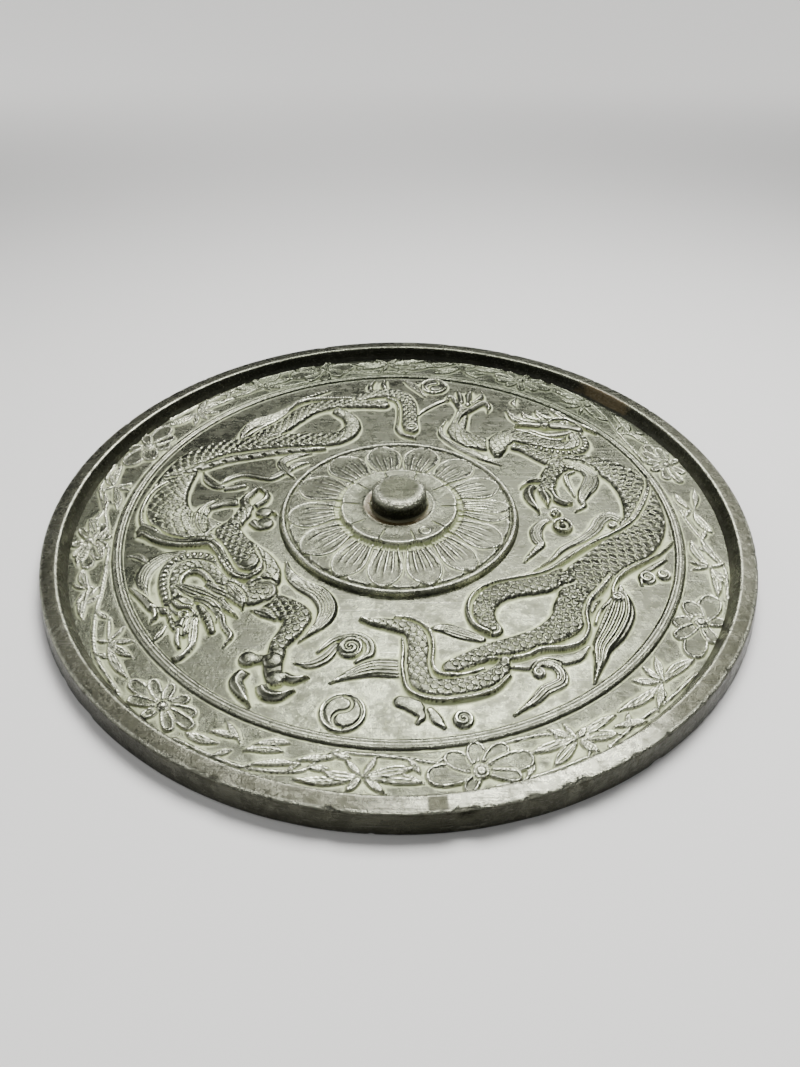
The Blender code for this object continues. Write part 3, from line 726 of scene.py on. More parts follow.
def keeled(run, side, half, u):
    """A claw or horn with a sharp back."""
    return 1.05 - 0.55 * np.abs(u)


def fringed(run, side, half, u):
    """A row of round beads down the neck, between two smooth lines."""
    wave = (run / 2.5) % 1.0 - 0.5
    bead = np.sqrt(np.clip(1 - (wave / 0.44) ** 2 - (u / 0.66) ** 2, 0, 1))
    return 0.62 + 0.40 * bead + 0.22 * np.exp(-((np.abs(u) - 0.84) / 0.13) ** 2)


def spines(run, side, half, u):
    """The fin down a dragon's back, smooth along its top and notched on the inner side."""
    wave = ((run + 0.8 * side) / 6.0) % 1.0
    notch = smooth((0.2 - np.abs(wave - 0.5)) / 0.1) * smooth(-u / 0.5)
    return 0.95 - 0.35 * notch - 0.25 * smooth(-u / 0.9)


def ball(share, bearing):
    """A smooth round pad or bead."""
    return 0.6 + 0.6 * np.sqrt(np.clip(1 - share ** 2, 0, 1))


def curl(share, bearing):
    """The coiled end of a cloud, lock or claw."""
    wind = (bearing / (2 * math.pi) + 1.7 * share) % 1.0
    return 0.66 + 0.44 * np.sin(math.pi * wind) ** 0.7


def whorl(share, bearing):
    """Two commas turning round each other inside a ring, on a pearl."""
    x, y = share * np.cos(bearing), share * np.sin(bearing)
    upper = np.abs(np.hypot(x, y - 0.38) - 0.38) + 9 * (x < 0)
    lower = np.abs(np.hypot(x, y + 0.38) - 0.38) + 9 * (x > 0)
    cut = np.exp(-(np.minimum(upper, lower) / 0.07) ** 2)
    ring = np.exp(-((share - 0.80) / 0.06) ** 2)
    return 0.84 + 0.30 * np.sqrt(np.clip(1 - share ** 2, 0, 1)) - 0.60 * cut - 0.42 * ring


def eye(share, bearing):
    """A round eye or pearl with a sunk ring and a raised middle."""
    return 0.9 + 0.35 * np.cos(2.2 * math.pi * share)


# The field's forms: name, form, share of the full rise, share of what lies under it, and
# (x, y, width) points down the middle in mm.  Each group is laid in the order it is given.
CLOUDS = (
    ("cloud tail", strands(3), 0.6, 0.0,
     ((-35, -80.6, 0.8), (-30, -81.4, 4), (-25, -78.4, 5), (-21.4, -73, 4))),
    ("cloud arc", ribboned, 0.62, 0.0,
     ((-27.4, -75.6, 2), (-22.4, -70, 3.6), (-15.6, -68, 4), (-10.4, -71, 4), (-9.8, -76.6, 4),
      (-14, -80, 2.4))),
    ("pearl flame", strands(5), 0.65, 0.0,
     ((62.5, -4.6, 1.6), (58.6, -6.4, 4.4), (55.6, -11, 5.8), (55.4, -16.4, 5.6),
      (56.4, -19.4, 4.2), (54, -22.6, 3.4), (51, -26.4, 2.6), (48.6, -29.8, 0.8))),
    ("cloud", strands(4), 0.65, 0.0,
     ((52, -34.4, 0.8), (59.4, -28.4, 2.6), (65, -21.8, 3.6), (73, -16.4, 4.4), (79, -10.6, 5.6),
      (82.6, -4.6, 6), (87, -1.4, 5.6), (91, -4.6, 4.4), (91.2, -9.6, 2.4))),
    ("far cloud", strands(3), 0.6, 0.0,
     ((2.6, 108, 1.6), (6, 104, 4.4), (9.6, 99, 4.4), (12.6, 92.6, 1.6))),
    ("far flame", ribboned, 0.6, 0.0, ((57.2, 83.6, 1), (56.4, 87.2, 3.2), (58.6, 92, 1))),
    ("far edge", ribboned, 0.6, 0.0,
     ((8.2, 73.6, 1.2), (12.6, 80, 2.6), (19.4, 86.4, 2.6), (26, 89.6, 1))),
    ("flame", ribboned, 0.75, 0.0,
     ((-77, 18.6, 1), (-73.4, 23.6, 4), (-68, 26.4, 5), (-62, 25.2, 5), (-56, 23.8, 4.6),
      (-51.4, 27.6, 4.6), (-47, 32, 4), (-40.6, 35, 0.8))),
    ("flame", strands(4), 0.6, 0.0,
     ((-46, 24, 1), (-50.6, 30, 4), (-52.6, 36, 5), (-47, 40.4, 4.4), (-40, 42.2, 1))),
    ("flame", ribboned, 0.65, 0.0,
     ((-86.4, 28, 1), (-83.4, 22, 4.4), (-78.6, 17.6, 4.4), (-74, 16.6, 1.2))),
)
LEFT_BODY = (
    ("body", scales(2.5, 4.2), 1.15, 0.0,
     ((-53, -46, 13), (-50, -39, 13), (-53.5, -31.2, 13), (-59.6, -25, 13), (-68, -18, 14),
      (-80, -11.6, 17), (-92.6, -5, 19), (-98, 6.8, 19), (-97, 22, 17), (-92.4, 36, 14.6),
      (-82, 45, 13), (-68, 49.6, 12.6), (-54, 51.8, 12.6), (-42, 53, 12.4), (-32, 53.6, 12),
      (-25.6, 57, 11), (-22.4, 64, 9.6), (-24.4, 72, 8.6), (-30, 77.4, 7))),
    ("back spines", spines, 0.95, 0.2,
     ((-103, 22, 2.4), (-94, 26, 4), (-86, 31.4, 4.6), (-77, 36.6, 4.6), (-67, 39.6, 4.6),
      (-57, 42.4, 4.4), (-46, 44.2, 4), (-34, 45.6, 2))),
    ("belly line", ribboned, 1.0, 0.25,
     ((-99.4, 19.6, 1.6), (-104.4, 13.4, 2.6), (-106.4, 6, 2.8), (-106.4, -2, 2.8),
      (-103.6, -9.6, 2.4), (-97, -14.6, 1.8))),
    ("leg tuft", strands(6), 0.7, 0.0,
     ((-73.6, 52, 2), (-73, 60, 5), (-68, 68, 8), (-60.4, 72.6, 8), (-54, 79.6, 5), (-49, 88, 3),
      (-42, 93.6, 3), (-35, 98, 1))),
    ("hind leg", scales(2.3, 3.4), 1.1, 0.3,
     ((-68, 52, 10), (-59, 61, 13), (-51, 71, 12), (-43.4, 79.4, 11), (-34, 83.4, 9.6),
      (-24, 84.5, 8.6), (-14, 84.4, 8), (-8, 84, 8))),
    ("leg line", ribboned, 1.0, 0.3,
     ((-73, 52.4, 1.6), (-66.6, 60.4, 2.2), (-60, 66.6, 2.4), (-55.4, 74, 2.4), (-51.6, 82, 2.4),
      (-46, 87.4, 2.2), (-38, 89, 2), (-24, 89.4, 1.6))),
    ("toe", keeled, 0.8, 0.2, ((-7, 98, 3), (-8.4, 104, 4), (-7, 108.6, 0.8))),
    ("toe", keeled, 0.8, 0.2, ((-14, 96, 3), (-15, 102, 3.6), (-12.4, 107.6, 0.8))),
    ("tail", scales(2.2, 3.0), 1.0, 0.0,
     ((-20, 89.4, 7), (-12.6, 94, 8.5), (-4, 95, 9), (1.4, 91.6, 9), (4.2, 85, 9), (4.8, 76, 9),
      (4.8, 68, 9), (5.4, 62.8, 8.4))),
    ("tail line", ribboned, 0.95, 0.25,
     ((-7, 90.4, 1.4), (-2, 87, 1.9), (-0.6, 80, 2.1), (-0.8, 70, 2.1), (-1.4, 63, 2.1),
      (1.4, 57.4, 2.1), (7.4, 54.6, 1.4))),
)
RIGHT_BODY = (
    ("body", scales(2.5, 4.8), 1.15, 0.0,
     ((53, 47.6, 6), (58, 45.6, 8), (64, 41.6, 11), (70, 38, 13.4), (78, 36, 14), (87, 34, 14.4),
      (95, 28.6, 15.6), (100, 20, 17), (102, 8, 17.6), (100.6, -5, 18.6), (95, -16, 20),
      (87, -24.6, 20), (79, -31.6, 19), (72, -38, 19), (67, -45, 18))),
    ("loop", limb_scales, 1.05, 0.5,
     ((66, -36, 12), (54, -42, 11), (42.6, -44.6, 10.6), (35, -48.4, 10.6), (31, -54.4, 10.4),
      (30.8, -60, 10), (33.6, -65.4, 8))),
    ("belly line", ribboned, 1.1, 0.3,
     ((108, 24, 1.6), (107, 17, 2.4), (103.6, 8.6, 2.8), (99.4, 0.6, 2.8), (95, -6, 2.8),
      (88, -12, 2.8), (80, -16.8, 2.8), (72, -22.4, 2.8), (64, -29.2, 2.8), (56.6, -35.2, 2.6),
      (47.6, -38.4, 2.4), (38, -40.8, 2.4), (31, -44.4, 2.4), (26.4, -50, 2.4),
      (25, -57, 2.4), (27, -63.4, 2.2), (32, -67.6, 1.4))),
    ("hip line", ribboned, 0.95, 0.3,
     ((109.4, -17.6, 1.4), (102, -25.2, 1.8), (94, -30.6, 2), (86, -36, 2.2), (81, -42, 2.2),
      (78.6, -49, 2.2), (73, -56, 2.4), (70.4, -62, 2.2))),
    ("side fin", strands(5), 0.55, 0.1,
     ((10.6, -65, 1.6), (16, -64.4, 5), (22, -66.6, 6), (29, -69.6, 4))),
    ("hip tuft", strands(6), 0.8, 0.1,
     ((83, -43, 2.4), (82, -50, 9), (80, -57, 12), (75.6, -65.4, 11.4), (70.6, -73, 8.6),
      (68.6, -79.6, 5.4), (65.2, -88.6, 0.8))),
    ("hind leg", limb_scales, 1.15, 0.4,
     ((70, -44, 17), (64, -54, 16), (60, -61.6, 14), (52, -68, 11.4), (42.5, -72.2, 10.4),
      (32, -75.6, 9.4), (24, -79.4, 8.6), (18, -82.6, 8))),
    ("thigh line", ribboned, 1.05, 0.3,
     ((30, -79.4, 1.2), (36, -79, 2), (43, -77.8, 2.2), (50.4, -74.6, 2.4), (58, -73.8, 2.6),
      (64, -71, 2.6), (67.4, -65, 2.6), (67.8, -58, 2.6), (70.4, -51.6, 2.6),
      (76, -44.6, 2.6), (80.4, -38.6, 2.2))),
    ("calf", plain, 0.6, 0.0,
     ((66, -73, 2.4), (61, -77.6, 5), (52, -79.6, 6), (44, -81.6, 4.4), (38, -82.4, 1.6))),
    ("calf lock", strands(4), 0.65, 0.1,
     ((45.4, -84, 2), (49, -80.8, 3.4), (54, -82.6, 4.4), (54.4, -88, 5), (48.6, -91.6, 5),
      (44.4, -96, 4), (37.4, -101.6, 1))),
    ("back foot", plain, 0.5, 0.0,
     ((91.4, -42, 1.6), (92, -37, 2.6), (97, -33, 3.4), (103.6, -28, 2))),
    ("toe", plain, 0.5, 0.1, ((1, -96.6, 5.6), (5, -98, 7), (7.6, -102, 4.4), (6.4, -104.6, 2))),
    ("toe", plain, 0.45, 0.1, ((10.4, -100, 3.4), (12.4, -103.4, 4.4), (14.6, -106.2, 2))),
    ("fish fin", strands(6), 0.6, 0.0,
     ((-22.4, -89, 0.8), (-16, -85.6, 5), (-8, -82.6, 8.6), (2, -83, 9))),
    ("tail", limb_scales, 1.05, 0.0,
     ((36.4, -80, 5), (34, -84.6, 8), (29.4, -88, 9), (21.3, -90.8, 9.4), (12.6, -91.4, 9.4),
      (7.6, -88.4, 9.6), (6.2, -80.6, 9.6), (6.9, -72.1, 9.4), (4.5, -65.6, 8.4),
      (-3, -63, 6.6), (-9, -62, 4.6), (-13.6, -60.4, 1.6))),
    ("tail edge", ribboned, 1.0, 0.25,
     ((38, -85.4, 1.4), (31.6, -92, 2.2), (21.6, -95.4, 2.2), (11.4, -96, 2.2), (3.8, -92.4, 2.2),
      (1.6, -84, 2.2), (1.8, -75, 2), (1.4, -69.6, 1.4))),
    ("tail line", ribboned, 0.95, 0.25,
     ((-2, -59.4, 1.4), (5, -60.6, 2), (10.6, -65.6, 2.2), (12, -73, 2.2), (11.6, -81, 2.2),
      (14, -85.4, 2.2), (21, -86, 2), (29, -83.4, 1.6))),
)
NEAR_FORELEG = (
    ("elbow tuft", strands(8), 0.75, 0.0,
     ((-43.4, -30.4, 1.6), (-41.4, -37, 5), (-36.6, -42.6, 7), (-29.6, -47.6, 8.5),
      (-26, -54.5, 8.5), (-27.4, -62, 6.4), (-34.8, -71.4, 0.8))),
    ("foreleg", limb_scales, 1.15, 0.3,
     ((-50, -52, 13), (-42.6, -55, 13), (-36.4, -59, 12), (-37.6, -65.6, 10.4),
      (-41.0, -72, 8.4), (-42, -77, 7.6))),
    ("wrist lock", strands(3), 0.7, 0.3, ((-53.8, -56.0, 1), (-48.6, -57.6, 4.4), (-43.8, -61, 1))),
    ("wrist", plain, 0.9, 0.2, ((-41, -74, 7), (-42.2, -82, 8), (-41, -88, 7.4))),
    ("thumb", plain, 0.8, 0.1, ((-45, -79.0, 4), (-50.6, -79.4, 5))),
    ("claw", keeled, 1.05, 0.2,
     ((-50.8, -83.6, 4.6), (-53.6, -88.6, 5.8), (-51, -93.8, 4.8), (-47.6, -98.8, 0.7))),
    ("claw", keeled, 1.05, 0.2,
     ((-45.4, -89.4, 4.6), (-43.6, -93.6, 5.4), (-39, -94.8, 4.8), (-33.8, -92.6, 0.7))),
    ("claw", keeled, 1.05, 0.2,
     ((-39.6, -85.6, 4.6), (-35, -88, 4.4), (-29.8, -87, 0.7))),
)
NEAR_HEAD = (
    ("nape hair", strands(6), 0.42, 0.0,
     ((-84, -24.6, 3), (-91.6, -28, 6.6), (-96.4, -35, 7), (-95.8, -43.6, 5), (-91.2, -52.4, 1))),
    ("small lock", strands(2), 0.42, 0.0,
     ((-105.4, -27.4, 1), (-101, -27.6, 3.4), (-96.6, -31.6, 0.8))),
    ("shoulder", limb_scales, 1.1, 0.3,
     ((-71, -8, 11), (-66.6, -17, 12.4), (-61.4, -26, 12.4), (-58.2, -31.4, 11))),
    ("neck", scales(2.2, 3.0), 1.0, 0.0,
     ((-50, -47, 12), (-56, -49.4, 10), (-62.4, -44.6, 10), (-67.6, -38.6, 10), (-72.6, -33.4, 10),
      (-78.4, -31.2, 10), (-83.4, -33, 10), (-85.6, -38.4, 9.6), (-84.8, -45, 9),
      (-82, -52, 9))),
    ("neck fin", fringed, 1.1, 0.2,
     ((-61.6, -41.4, 2), (-65.8, -35, 4.4), (-71.4, -29.6, 5), (-78.4, -27.6, 5.2),
      (-85.2, -29.8, 5.2), (-88.6, -35.6, 5), (-88.2, -43.4, 4.4), (-85.8, -50.2, 3.8),
      (-83.0, -57.2, 3.2), (-80.2, -63.6, 2.8), (-78.4, -66.6, 1.8))),
    ("neck line", ribboned, 0.95, 0.3,
     ((-81.4, -44.6, 1.6), (-80.9, -39, 2.4), (-78, -36.4, 2.6), (-74, -38.2, 2.6),
      (-69, -44.6, 2.6), (-64, -50.8, 2))),
    ("horn", keeled, 0.95, 0.2,
     ((-100.4, -45.2, 1.4), (-97.6, -47.4, 2.8), (-93, -51.6, 3.8), (-89, -55.6, 4.2),
      (-84.6, -57.2, 4))),
    ("horn tip", keeled, 0.95, 0.1, ((-88.2, -56.6, 3), (-87.2, -60, 2.8), (-88.4, -62.6, 0.8))),
    ("cheek", plain, 1.0, 0.2, ((-82, -49, 9), (-78.4, -55, 10.4), (-75.6, -58.6, 9))),
    ("brow", keeled, 1.3, 0.2, ((-82.6, -53, 2.2), (-79, -56.2, 3), (-75, -56.6, 2.6),
                                (-72.4, -60, 1.6))),
    ("snout", plain, 1.15, 0.2, ((-77.4, -60, 7), (-76.4, -64.4, 6), (-75.4, -67.6, 4.6))),
    ("muzzle fold", strands(4), 1.05, 0.2,
     ((-70, -51, 2.6), (-71.6, -57, 4.8), (-73, -62, 5), (-74.6, -67.6, 3))),
    ("tongue", strands(3), 0.9, 0.1,
     ((-72.6, -62, 3.4), (-72, -68, 4.2), (-71.6, -73, 3.4), (-73, -76.8, 2.8), (-75.4, -79.2, 3),
      (-77, -78.6, 1.2))),
    ("lip", plain, 0.9, 0.1, ((-77.6, -66.6, 2.6), (-77, -70.6, 3), (-75.6, -74, 2))),
    ("jaw", plain, 0.75, 0.1, ((-72, -55, 4.4), (-68.4, -60.6, 4.6), (-65.8, -66.4, 3.4))),
    ("mane", strands(5), 1.05, 0.2,
     ((-83, -43.6, 3), (-77, -46.6, 7), (-71, -49.4, 7.5), (-64.6, -53.4, 5.8),
      (-57.8, -59.6, 0.8))),
    ("mane", strands(3), 0.95, 0.2,
     ((-76, -51, 3), (-70, -52.6, 4.4), (-65.4, -57.2, 4), (-65, -61.8, 0.8))),
    ("mane", strands(3), 0.95, 0.2,
     ((-73, -42.6, 2), (-67.6, -46, 4.4), (-61.6, -49.4, 4.2), (-56.4, -55.4, 0.8))),
    ("leaf lock", strands(3), 0.95, 0.2,
     ((-64.6, -42.4, 1.2), (-61.4, -46.6, 4.8), (-57.4, -51.4, 3.6), (-56.6, -55.8, 0.8))),
    ("whisker", ribboned, 0.75, 0.1,
     ((-67, -56.4, 1.6), (-63.6, -59, 3), (-61.8, -64, 3), (-58.9, -68.6, 3), (-60.6, -73.6, 0.8))),
    ("beard", strands(2), 0.5, 0.1, ((-82.4, -64, 1.2), (-84, -68, 3), (-86.4, -72.4, 0.6))),
    ("ribbon", ribboned, 1.15, 0.4,
     ((-106.2, -14.4, 5), (-101.4, -13.2, 7.4), (-95.6, -17.4, 6.4), (-88.4, -20.2, 5.6),
      (-81.2, -20.2, 5.2), (-74.6, -20.4, 5), (-70.4, -25, 5), (-66.8, -31.4, 5),
      (-63, -37.2, 4.8), (-57.2, -39.6, 4), (-52.6, -36.4, 3), (-52.4, -32.4, 1.6))),
)
FAR_FORELEG = (
    ("elbow tuft", strands(5), 0.7, 0.0,
     ((45.4, 34, 1.4), (38, 39.4, 4.6), (31, 45.4, 5.4), (24.6, 51.6, 5), (20, 58, 4),
      (19.8, 64, 2.4), (22.8, 71, 0.8))),
    ("foreleg", limb_scales, 1.1, 0.2,
     ((44, 49.4, 8), (38, 50.6, 12.6), (31.4, 54, 13), (27, 60, 11), (28.6, 68, 9),
      (30.6, 76, 7.6), (31.4, 82, 7.4))),
    ("finger", keeled, 0.95, 0.1, ((30, 82, 5), (28.4, 88, 5.4), (25, 91.4, 4), (23.8, 87.8, 1.4))),
    ("finger", keeled, 0.95, 0.1, ((33.6, 84, 5), (34.2, 92, 5.4), (36.4, 97, 1))),
    ("finger", keeled, 0.9, 0.1, ((30.6, 86, 4), (30.2, 93, 4), (29, 97.4, 1))),
    ("finger", keeled, 0.9, 0.1, ((37, 86, 4), (40.6, 91.6, 4), (41.6, 96, 1))),
    ("thumb claw", keeled, 1.0, 0.2,
     ((27, 65, 2), (30, 73.6, 3.4), (36, 81, 4.2), (41.4, 86, 5), (43.8, 82.6, 3.4), (43, 78, 1))),
)
FAR_HEAD = (
    ("chest", limb_scales, 1.1, 0.2,
     ((44, 38.6, 3), (44.8, 45, 8.6), (46.6, 52, 12.6), (51, 56.4, 12), (57, 55.6, 11),
      (64, 51.6, 9.6), (71, 48.4, 9), (78, 48.6, 8.6), (82, 52.6, 8.4), (81.6, 58, 8))),
    ("neck fin", fringed, 1.1, 0.2,
     ((59, 47.4, 2), (66, 44.2, 4), (73, 42.6, 4.4), (80, 43.2, 4.4), (85.2, 47.6, 4.4),
      (86, 54, 4), (83, 60, 2))),
    ("neck line", ribboned, 0.95, 0.3,
     ((54, 61.4, 1.4), (61, 58.4, 2), (67.4, 54.4, 2.2), (74, 52.6, 2.2), (77.4, 55.2, 1.6))),
    ("horn", keeled, 1.0, 0.1,
     ((75, 71, 2.4), (81, 69.6, 3.4), (86.6, 65.4, 3.6), (92.6, 59.4, 1))),
    ("mane", strands(3), 0.9, 0.0, ((80, 70, 4), (78, 75, 4.4), (73.6, 80, 1))),
    ("mane", strands(3), 0.9, 0.0, ((75, 69, 4), (69, 73, 5), (66, 79, 1))),
    ("mane", strands(3), 0.9, 0.0, ((69, 68.6, 4), (62, 72, 5), (59.2, 78, 1))),
    ("mane", strands(3), 0.9, 0.0, ((62, 68, 4), (55.6, 72, 4.6), (52.2, 79.2, 1))),
    ("jaw", plain, 0.85, 0.1, ((84, 61.6, 4), (77, 59, 4.6), (69, 57.8, 4.4), (61.4, 61, 2))),
    ("head", plain, 1.15, 0.1,
     ((84.6, 61.6, 6), (80, 65.4, 9), (73, 66.6, 8.6), (66, 66, 6), (60, 66, 4), (55, 65.4, 1))),
    ("brow", keeled, 1.3, 0.2, ((84, 65, 2), (79.6, 69, 3), (74.6, 69.4, 2.6), (71, 67, 1.4))),
)
REACH = (
    ("tuft", strands(6), 0.75, 0.0,
     ((75, 36, 3), (81, 32.4, 6.4), (84.2, 26, 7.6), (82.6, 19.6, 8), (79.4, 14.2, 7),
      (77.4, 9, 4.4), (77.6, 5, 3.2), (73.4, 1.2, 1))),
    ("tuft lock", ribboned, 0.7, 0.1,
     ((77.4, 29, 1.6), (73.4, 26.4, 3), (73.4, 19, 3), (74.8, 11.4, 1.2))),
    ("forearm", limb_scales, 1.1, 0.3,
     ((75, 35, 11), (69.6, 31, 10.4), (66, 25.4, 9.4), (64.4, 19.6, 8.6), (62, 16, 8))),
    ("talon", keeled, 1.05, 0.2, ((65.6, 17, 5), (65.8, 11, 5), (69.4, 6.6, 3.8), (73, 6.4, 0.8))),
    ("talon", keeled, 1.05, 0.2, ((61, 15, 4.6), (62.6, 9.6, 4.8), (62.4, 4.6, 1))),
    ("talon", keeled, 1.05, 0.2,
     ((59, 19, 4.6), (55.6, 14.6, 5.4), (55.8, 8.4, 5), (58.4, 0.4, 0.8))),
    ("thumb", keeled, 0.95, 0.2, ((63, 22, 4), (57, 22, 4), (52.4, 17, 1))),
)
# Middles of the near dragon's teeth
TEETH = ((-69.9, -58.6), (-69.1, -60.8), (-68.2, -62.9), (-67.3, -64.9), (-66.5, -66.8))
TOOTH_RADIUS = 0.85
# Round things: name, form, x, y, radius, share of the full rise, share of what lies under
ROUNDS = (
    ("cloud curl", curl, -16.6, -73.8, 4.8, 0.75, 0.2),
    ("ribbon pad", ball, -42.6, -80.6, 3.7, 0.95, 0.2),
    ("thumb pad", ball, -51.2, -79.2, 3.5, 0.8, 0.1),
    ("palm pad", ball, -40.4, -88, 3.3, 0.85, 0.2),
    ("near eye", eye, -76.9, -59.8, 2.2, 1.3, 0.0),
    ("far eye", eye, 78.6, 66.0, 2.0, 1.3, 0.0),
    ("nose roll", ball, 69.0, 64.6, 2.4, 1.2, 0.1),
    ("near whorl", whorl, -17.7, -101.0, 7.9, 0.6, 0.0),
    ("far whorl", whorl, 17.4, 102.2, 7.2, 0.75, 0.0),
    ("pearl ring", eye, 66.5, -8.6, 4.4, 0.95, 0.0),
    ("pearl", ball, 66.2, -7.2, 1.3, 1.2, 0.0),
    ("small ring", eye, 65.0, 0.0, 2.5, 0.8, 0.1),
    ("cloud eye", curl, 87.2, -7.4, 2.4, 0.6, 0.2),
    ("tail curl", curl, 5.6, 62.4, 3.7, 0.9, 0.3),
    ("lock curl", curl, 47.4, -84.6, 2.6, 0.6, 0.1),
    ("tuft eye", curl, 80.6, -49.6, 2.6, 0.9, 0.2),
    ("back claw", curl, 94.2, -38.4, 3.5, 0.65, 0.1),
    ("back claw", curl, 100.8, -36.8, 3.1, 0.65, 0.1),
    ("toe", curl, 20.8, -103.4, 3.7, 0.6, 0.0),
    ("paw pad", ball, -54.6, -7.4, 3.8, 0.7, 0.1),
    ("paw pad", ball, -55.6, -0.6, 3.4, 0.8, 0.1),
)
LEFT_REACH = (
    ("shoulder lock", strands(5), 0.75, 0.2,
     ((-78, -15.4, 3), (-81.4, -8, 6), (-81.6, -0.6, 7), (-78.6, 5, 5.4), (-73.6, 8.4, 1.6))),
    ("upper arm", plain, 0.85, 0.1, ((-78, 3, 4), (-73, 6.4, 6.6), (-67.4, 6, 5))),
    ("arm lump", plain, 0.7, 0.0, ((-74.4, 15.4, 2.6), (-70.6, 17, 4.4), (-66.6, 17.6, 2.4))),
    ("forearm", limb_scales, 1.1, 0.3,
     ((-73, -20, 10), (-69.6, -14, 9.6), (-67, -8, 9), (-64.4, -2.4, 8.4), (-63.6, 2, 8))),
    ("talon", keeled, 1.05, 0.2, ((-63.6, 1.6, 5), (-65, 8, 5), (-62.4, 12.6, 3.8),
                                  (-60, 15.6, 0.8))),
    ("talon", keeled, 1.0, 0.2, ((-60.6, 2.6, 4), (-56.6, 7.8, 4), (-56.4, 12.2, 3.2),
                                 (-60.2, 16, 0.8))),
    ("talon", keeled, 0.95, 0.2, ((-60, -1.6, 4.2), (-54.4, 0.4, 4), (-50.6, -1.4, 0.8))),
    ("talon", keeled, 1.05, 0.2, ((-61, -5.4, 4.6), (-56, -9.4, 4.8), (-51.4, -6.6, 0.8))),
)
# The order they lie in, lowest first
DRAGONS = (CLOUDS, LEFT_BODY, RIGHT_BODY, LEFT_REACH, REACH, NEAR_FORELEG, FAR_FORELEG,
           NEAR_HEAD, FAR_HEAD)


def lay_round(relief, x, y, place, radius, rise, form, under=0.0):
    """Lay a round form, given its height from distance and bearing."""
    dx, dy = x - place[0], y - place[1]
    near = np.nonzero(dx * dx + dy * dy < (radius + 0.8) ** 2)[0]
    away = np.hypot(dx[near], dy[near])
    edge = smooth((radius - away) / min(0.7, 0.5 * radius))
    shape = form(away / radius, np.arctan2(dy[near], dx[near]))
    relief[near] = (1 - edge) * relief[near] + edge * (under * relief[near] + rise * shape)


def field_relief(x, y):
    """Height of the dragons over the field's ground, in mm."""
    relief = np.zeros_like(x)
    for parts in DRAGONS:
        for _, form, rise, under, points in parts:
            widest = max(point[2] for point in points)
            wall = min(1.8, max(0.8, 0.15 * widest))
            root = 0.4 * widest if under >= RIDING else 0.0
            lay(relief, x, y, curve(points, 6), rise * DRAGON_RISE, form, wall, under, root=root)
    for place in TEETH:
        lay_round(relief, x, y, place, TOOTH_RADIUS, 1.1 * DRAGON_RISE, ball)
    for _, form, cx, cy, radius, rise, under in ROUNDS:
        lay_round(relief, x, y, (cx, cy), radius, rise * DRAGON_RISE, form, under)
    return relief


field_finish = bronze_finish("field_bronze", Dusting=1.0, Wear=0.85, Scratches=0.6,
                             bump=0.0003)
carved_ring("dragon_field", np.linspace(BAND_INNER, FIELD_INNER, FIELD_ROWS + 1),
            FIELD_COLUMNS, field_relief, passes=4, depth=0.4, sectors=FIELD_SECTORS,
            finish=field_finish)


# The lotus boss in the middle: a cord line round two rows of veined petals, and the lobed
# flower that the knob stands on, cast from the same mould.
LOTUS_ROWS = 112
LOTUS_COLUMNS = 768
KNOB_ROOT = 8.8
SEAT_HEIGHT = 7.4
# The cord line round the petals: radius of its inner foot, its middle and its outer foot
CORD_LINE = (46.5, 47.7, 49.5)
CORD_TOP = 4.95
CORD_SHOULDER = 4.7
# Bearings of the gaps between the petals, and between the lobes of the seat.  The -5 is one
# gap too many: it cuts into the petal that runs from 346 to 370.
PETAL_GAPS = (-5, 10, 35, 61, 88, 114, 143, 173, 200, 228, 250.5, 273.5, 297, 320, 346, 370)
LOBE_GAPS = (34, 70, 106, 142, 178, 214, 250, 286, 322, 358, 394)
# Root radius, tip radius and the share of the way out where a petal starts to taper
FRONT_PETALS = (24.0, 46.3, 0.52)
BACK_PETALS = (30.0, 47.0, 0.55)
# Bearing and radius of the small round boss on one lobe
JEWEL = (302.0, 19.6)
DIRTY_SIDE = math.radians(200)


def petal_share(bearing, gaps):
    """How far across its petal each bearing is, -1 to 1."""
    gaps = np.array(gaps, dtype=float)
    bearing = gaps[0] + (bearing - gaps[0]) % 360.0
    which = np.clip(np.searchsorted(gaps, bearing, side="right") - 1, 0, len(gaps) - 2)
    left, right = gaps[which], gaps[which + 1]
    return (2 * bearing - left - right) / (right - left)


def petal_row(radius, across, root, tip, fullest):
    """Cover and height of one row of pointed petals, rounded, outlined and veined."""
    run = np.clip((radius - root) / (tip - root), 0, 1.2)
    taper = np.clip((run - fullest) / (1 - fullest), 0, 1)
    wide = 0.97 * np.clip(1 - taper ** 1.9, 0, 1) ** 0.72 * (0.80 + 0.20 * smooth(run / 0.5))
    inside = (wide - np.abs(across)) * radius * 0.21
    body = smooth(inside / 0.5) * (run < 1)
    outline = np.exp(-((inside - 0.65) / 0.36) ** 2)
    hump = 0.32 * np.sqrt(np.clip(1 - (across / np.maximum(wide, 0.05)) ** 2, 0, 1))
    veins = np.abs(np.sin(math.pi * 2.5 * across / np.maximum(wide, 0.4)))
    veins = 0.55 * (1 - veins) ** 1.5 * smooth((0.80 - run) / 0.3) * smooth(inside / 1.2)
    return body, body * (0.30 + hump + 0.60 * outline + veins)


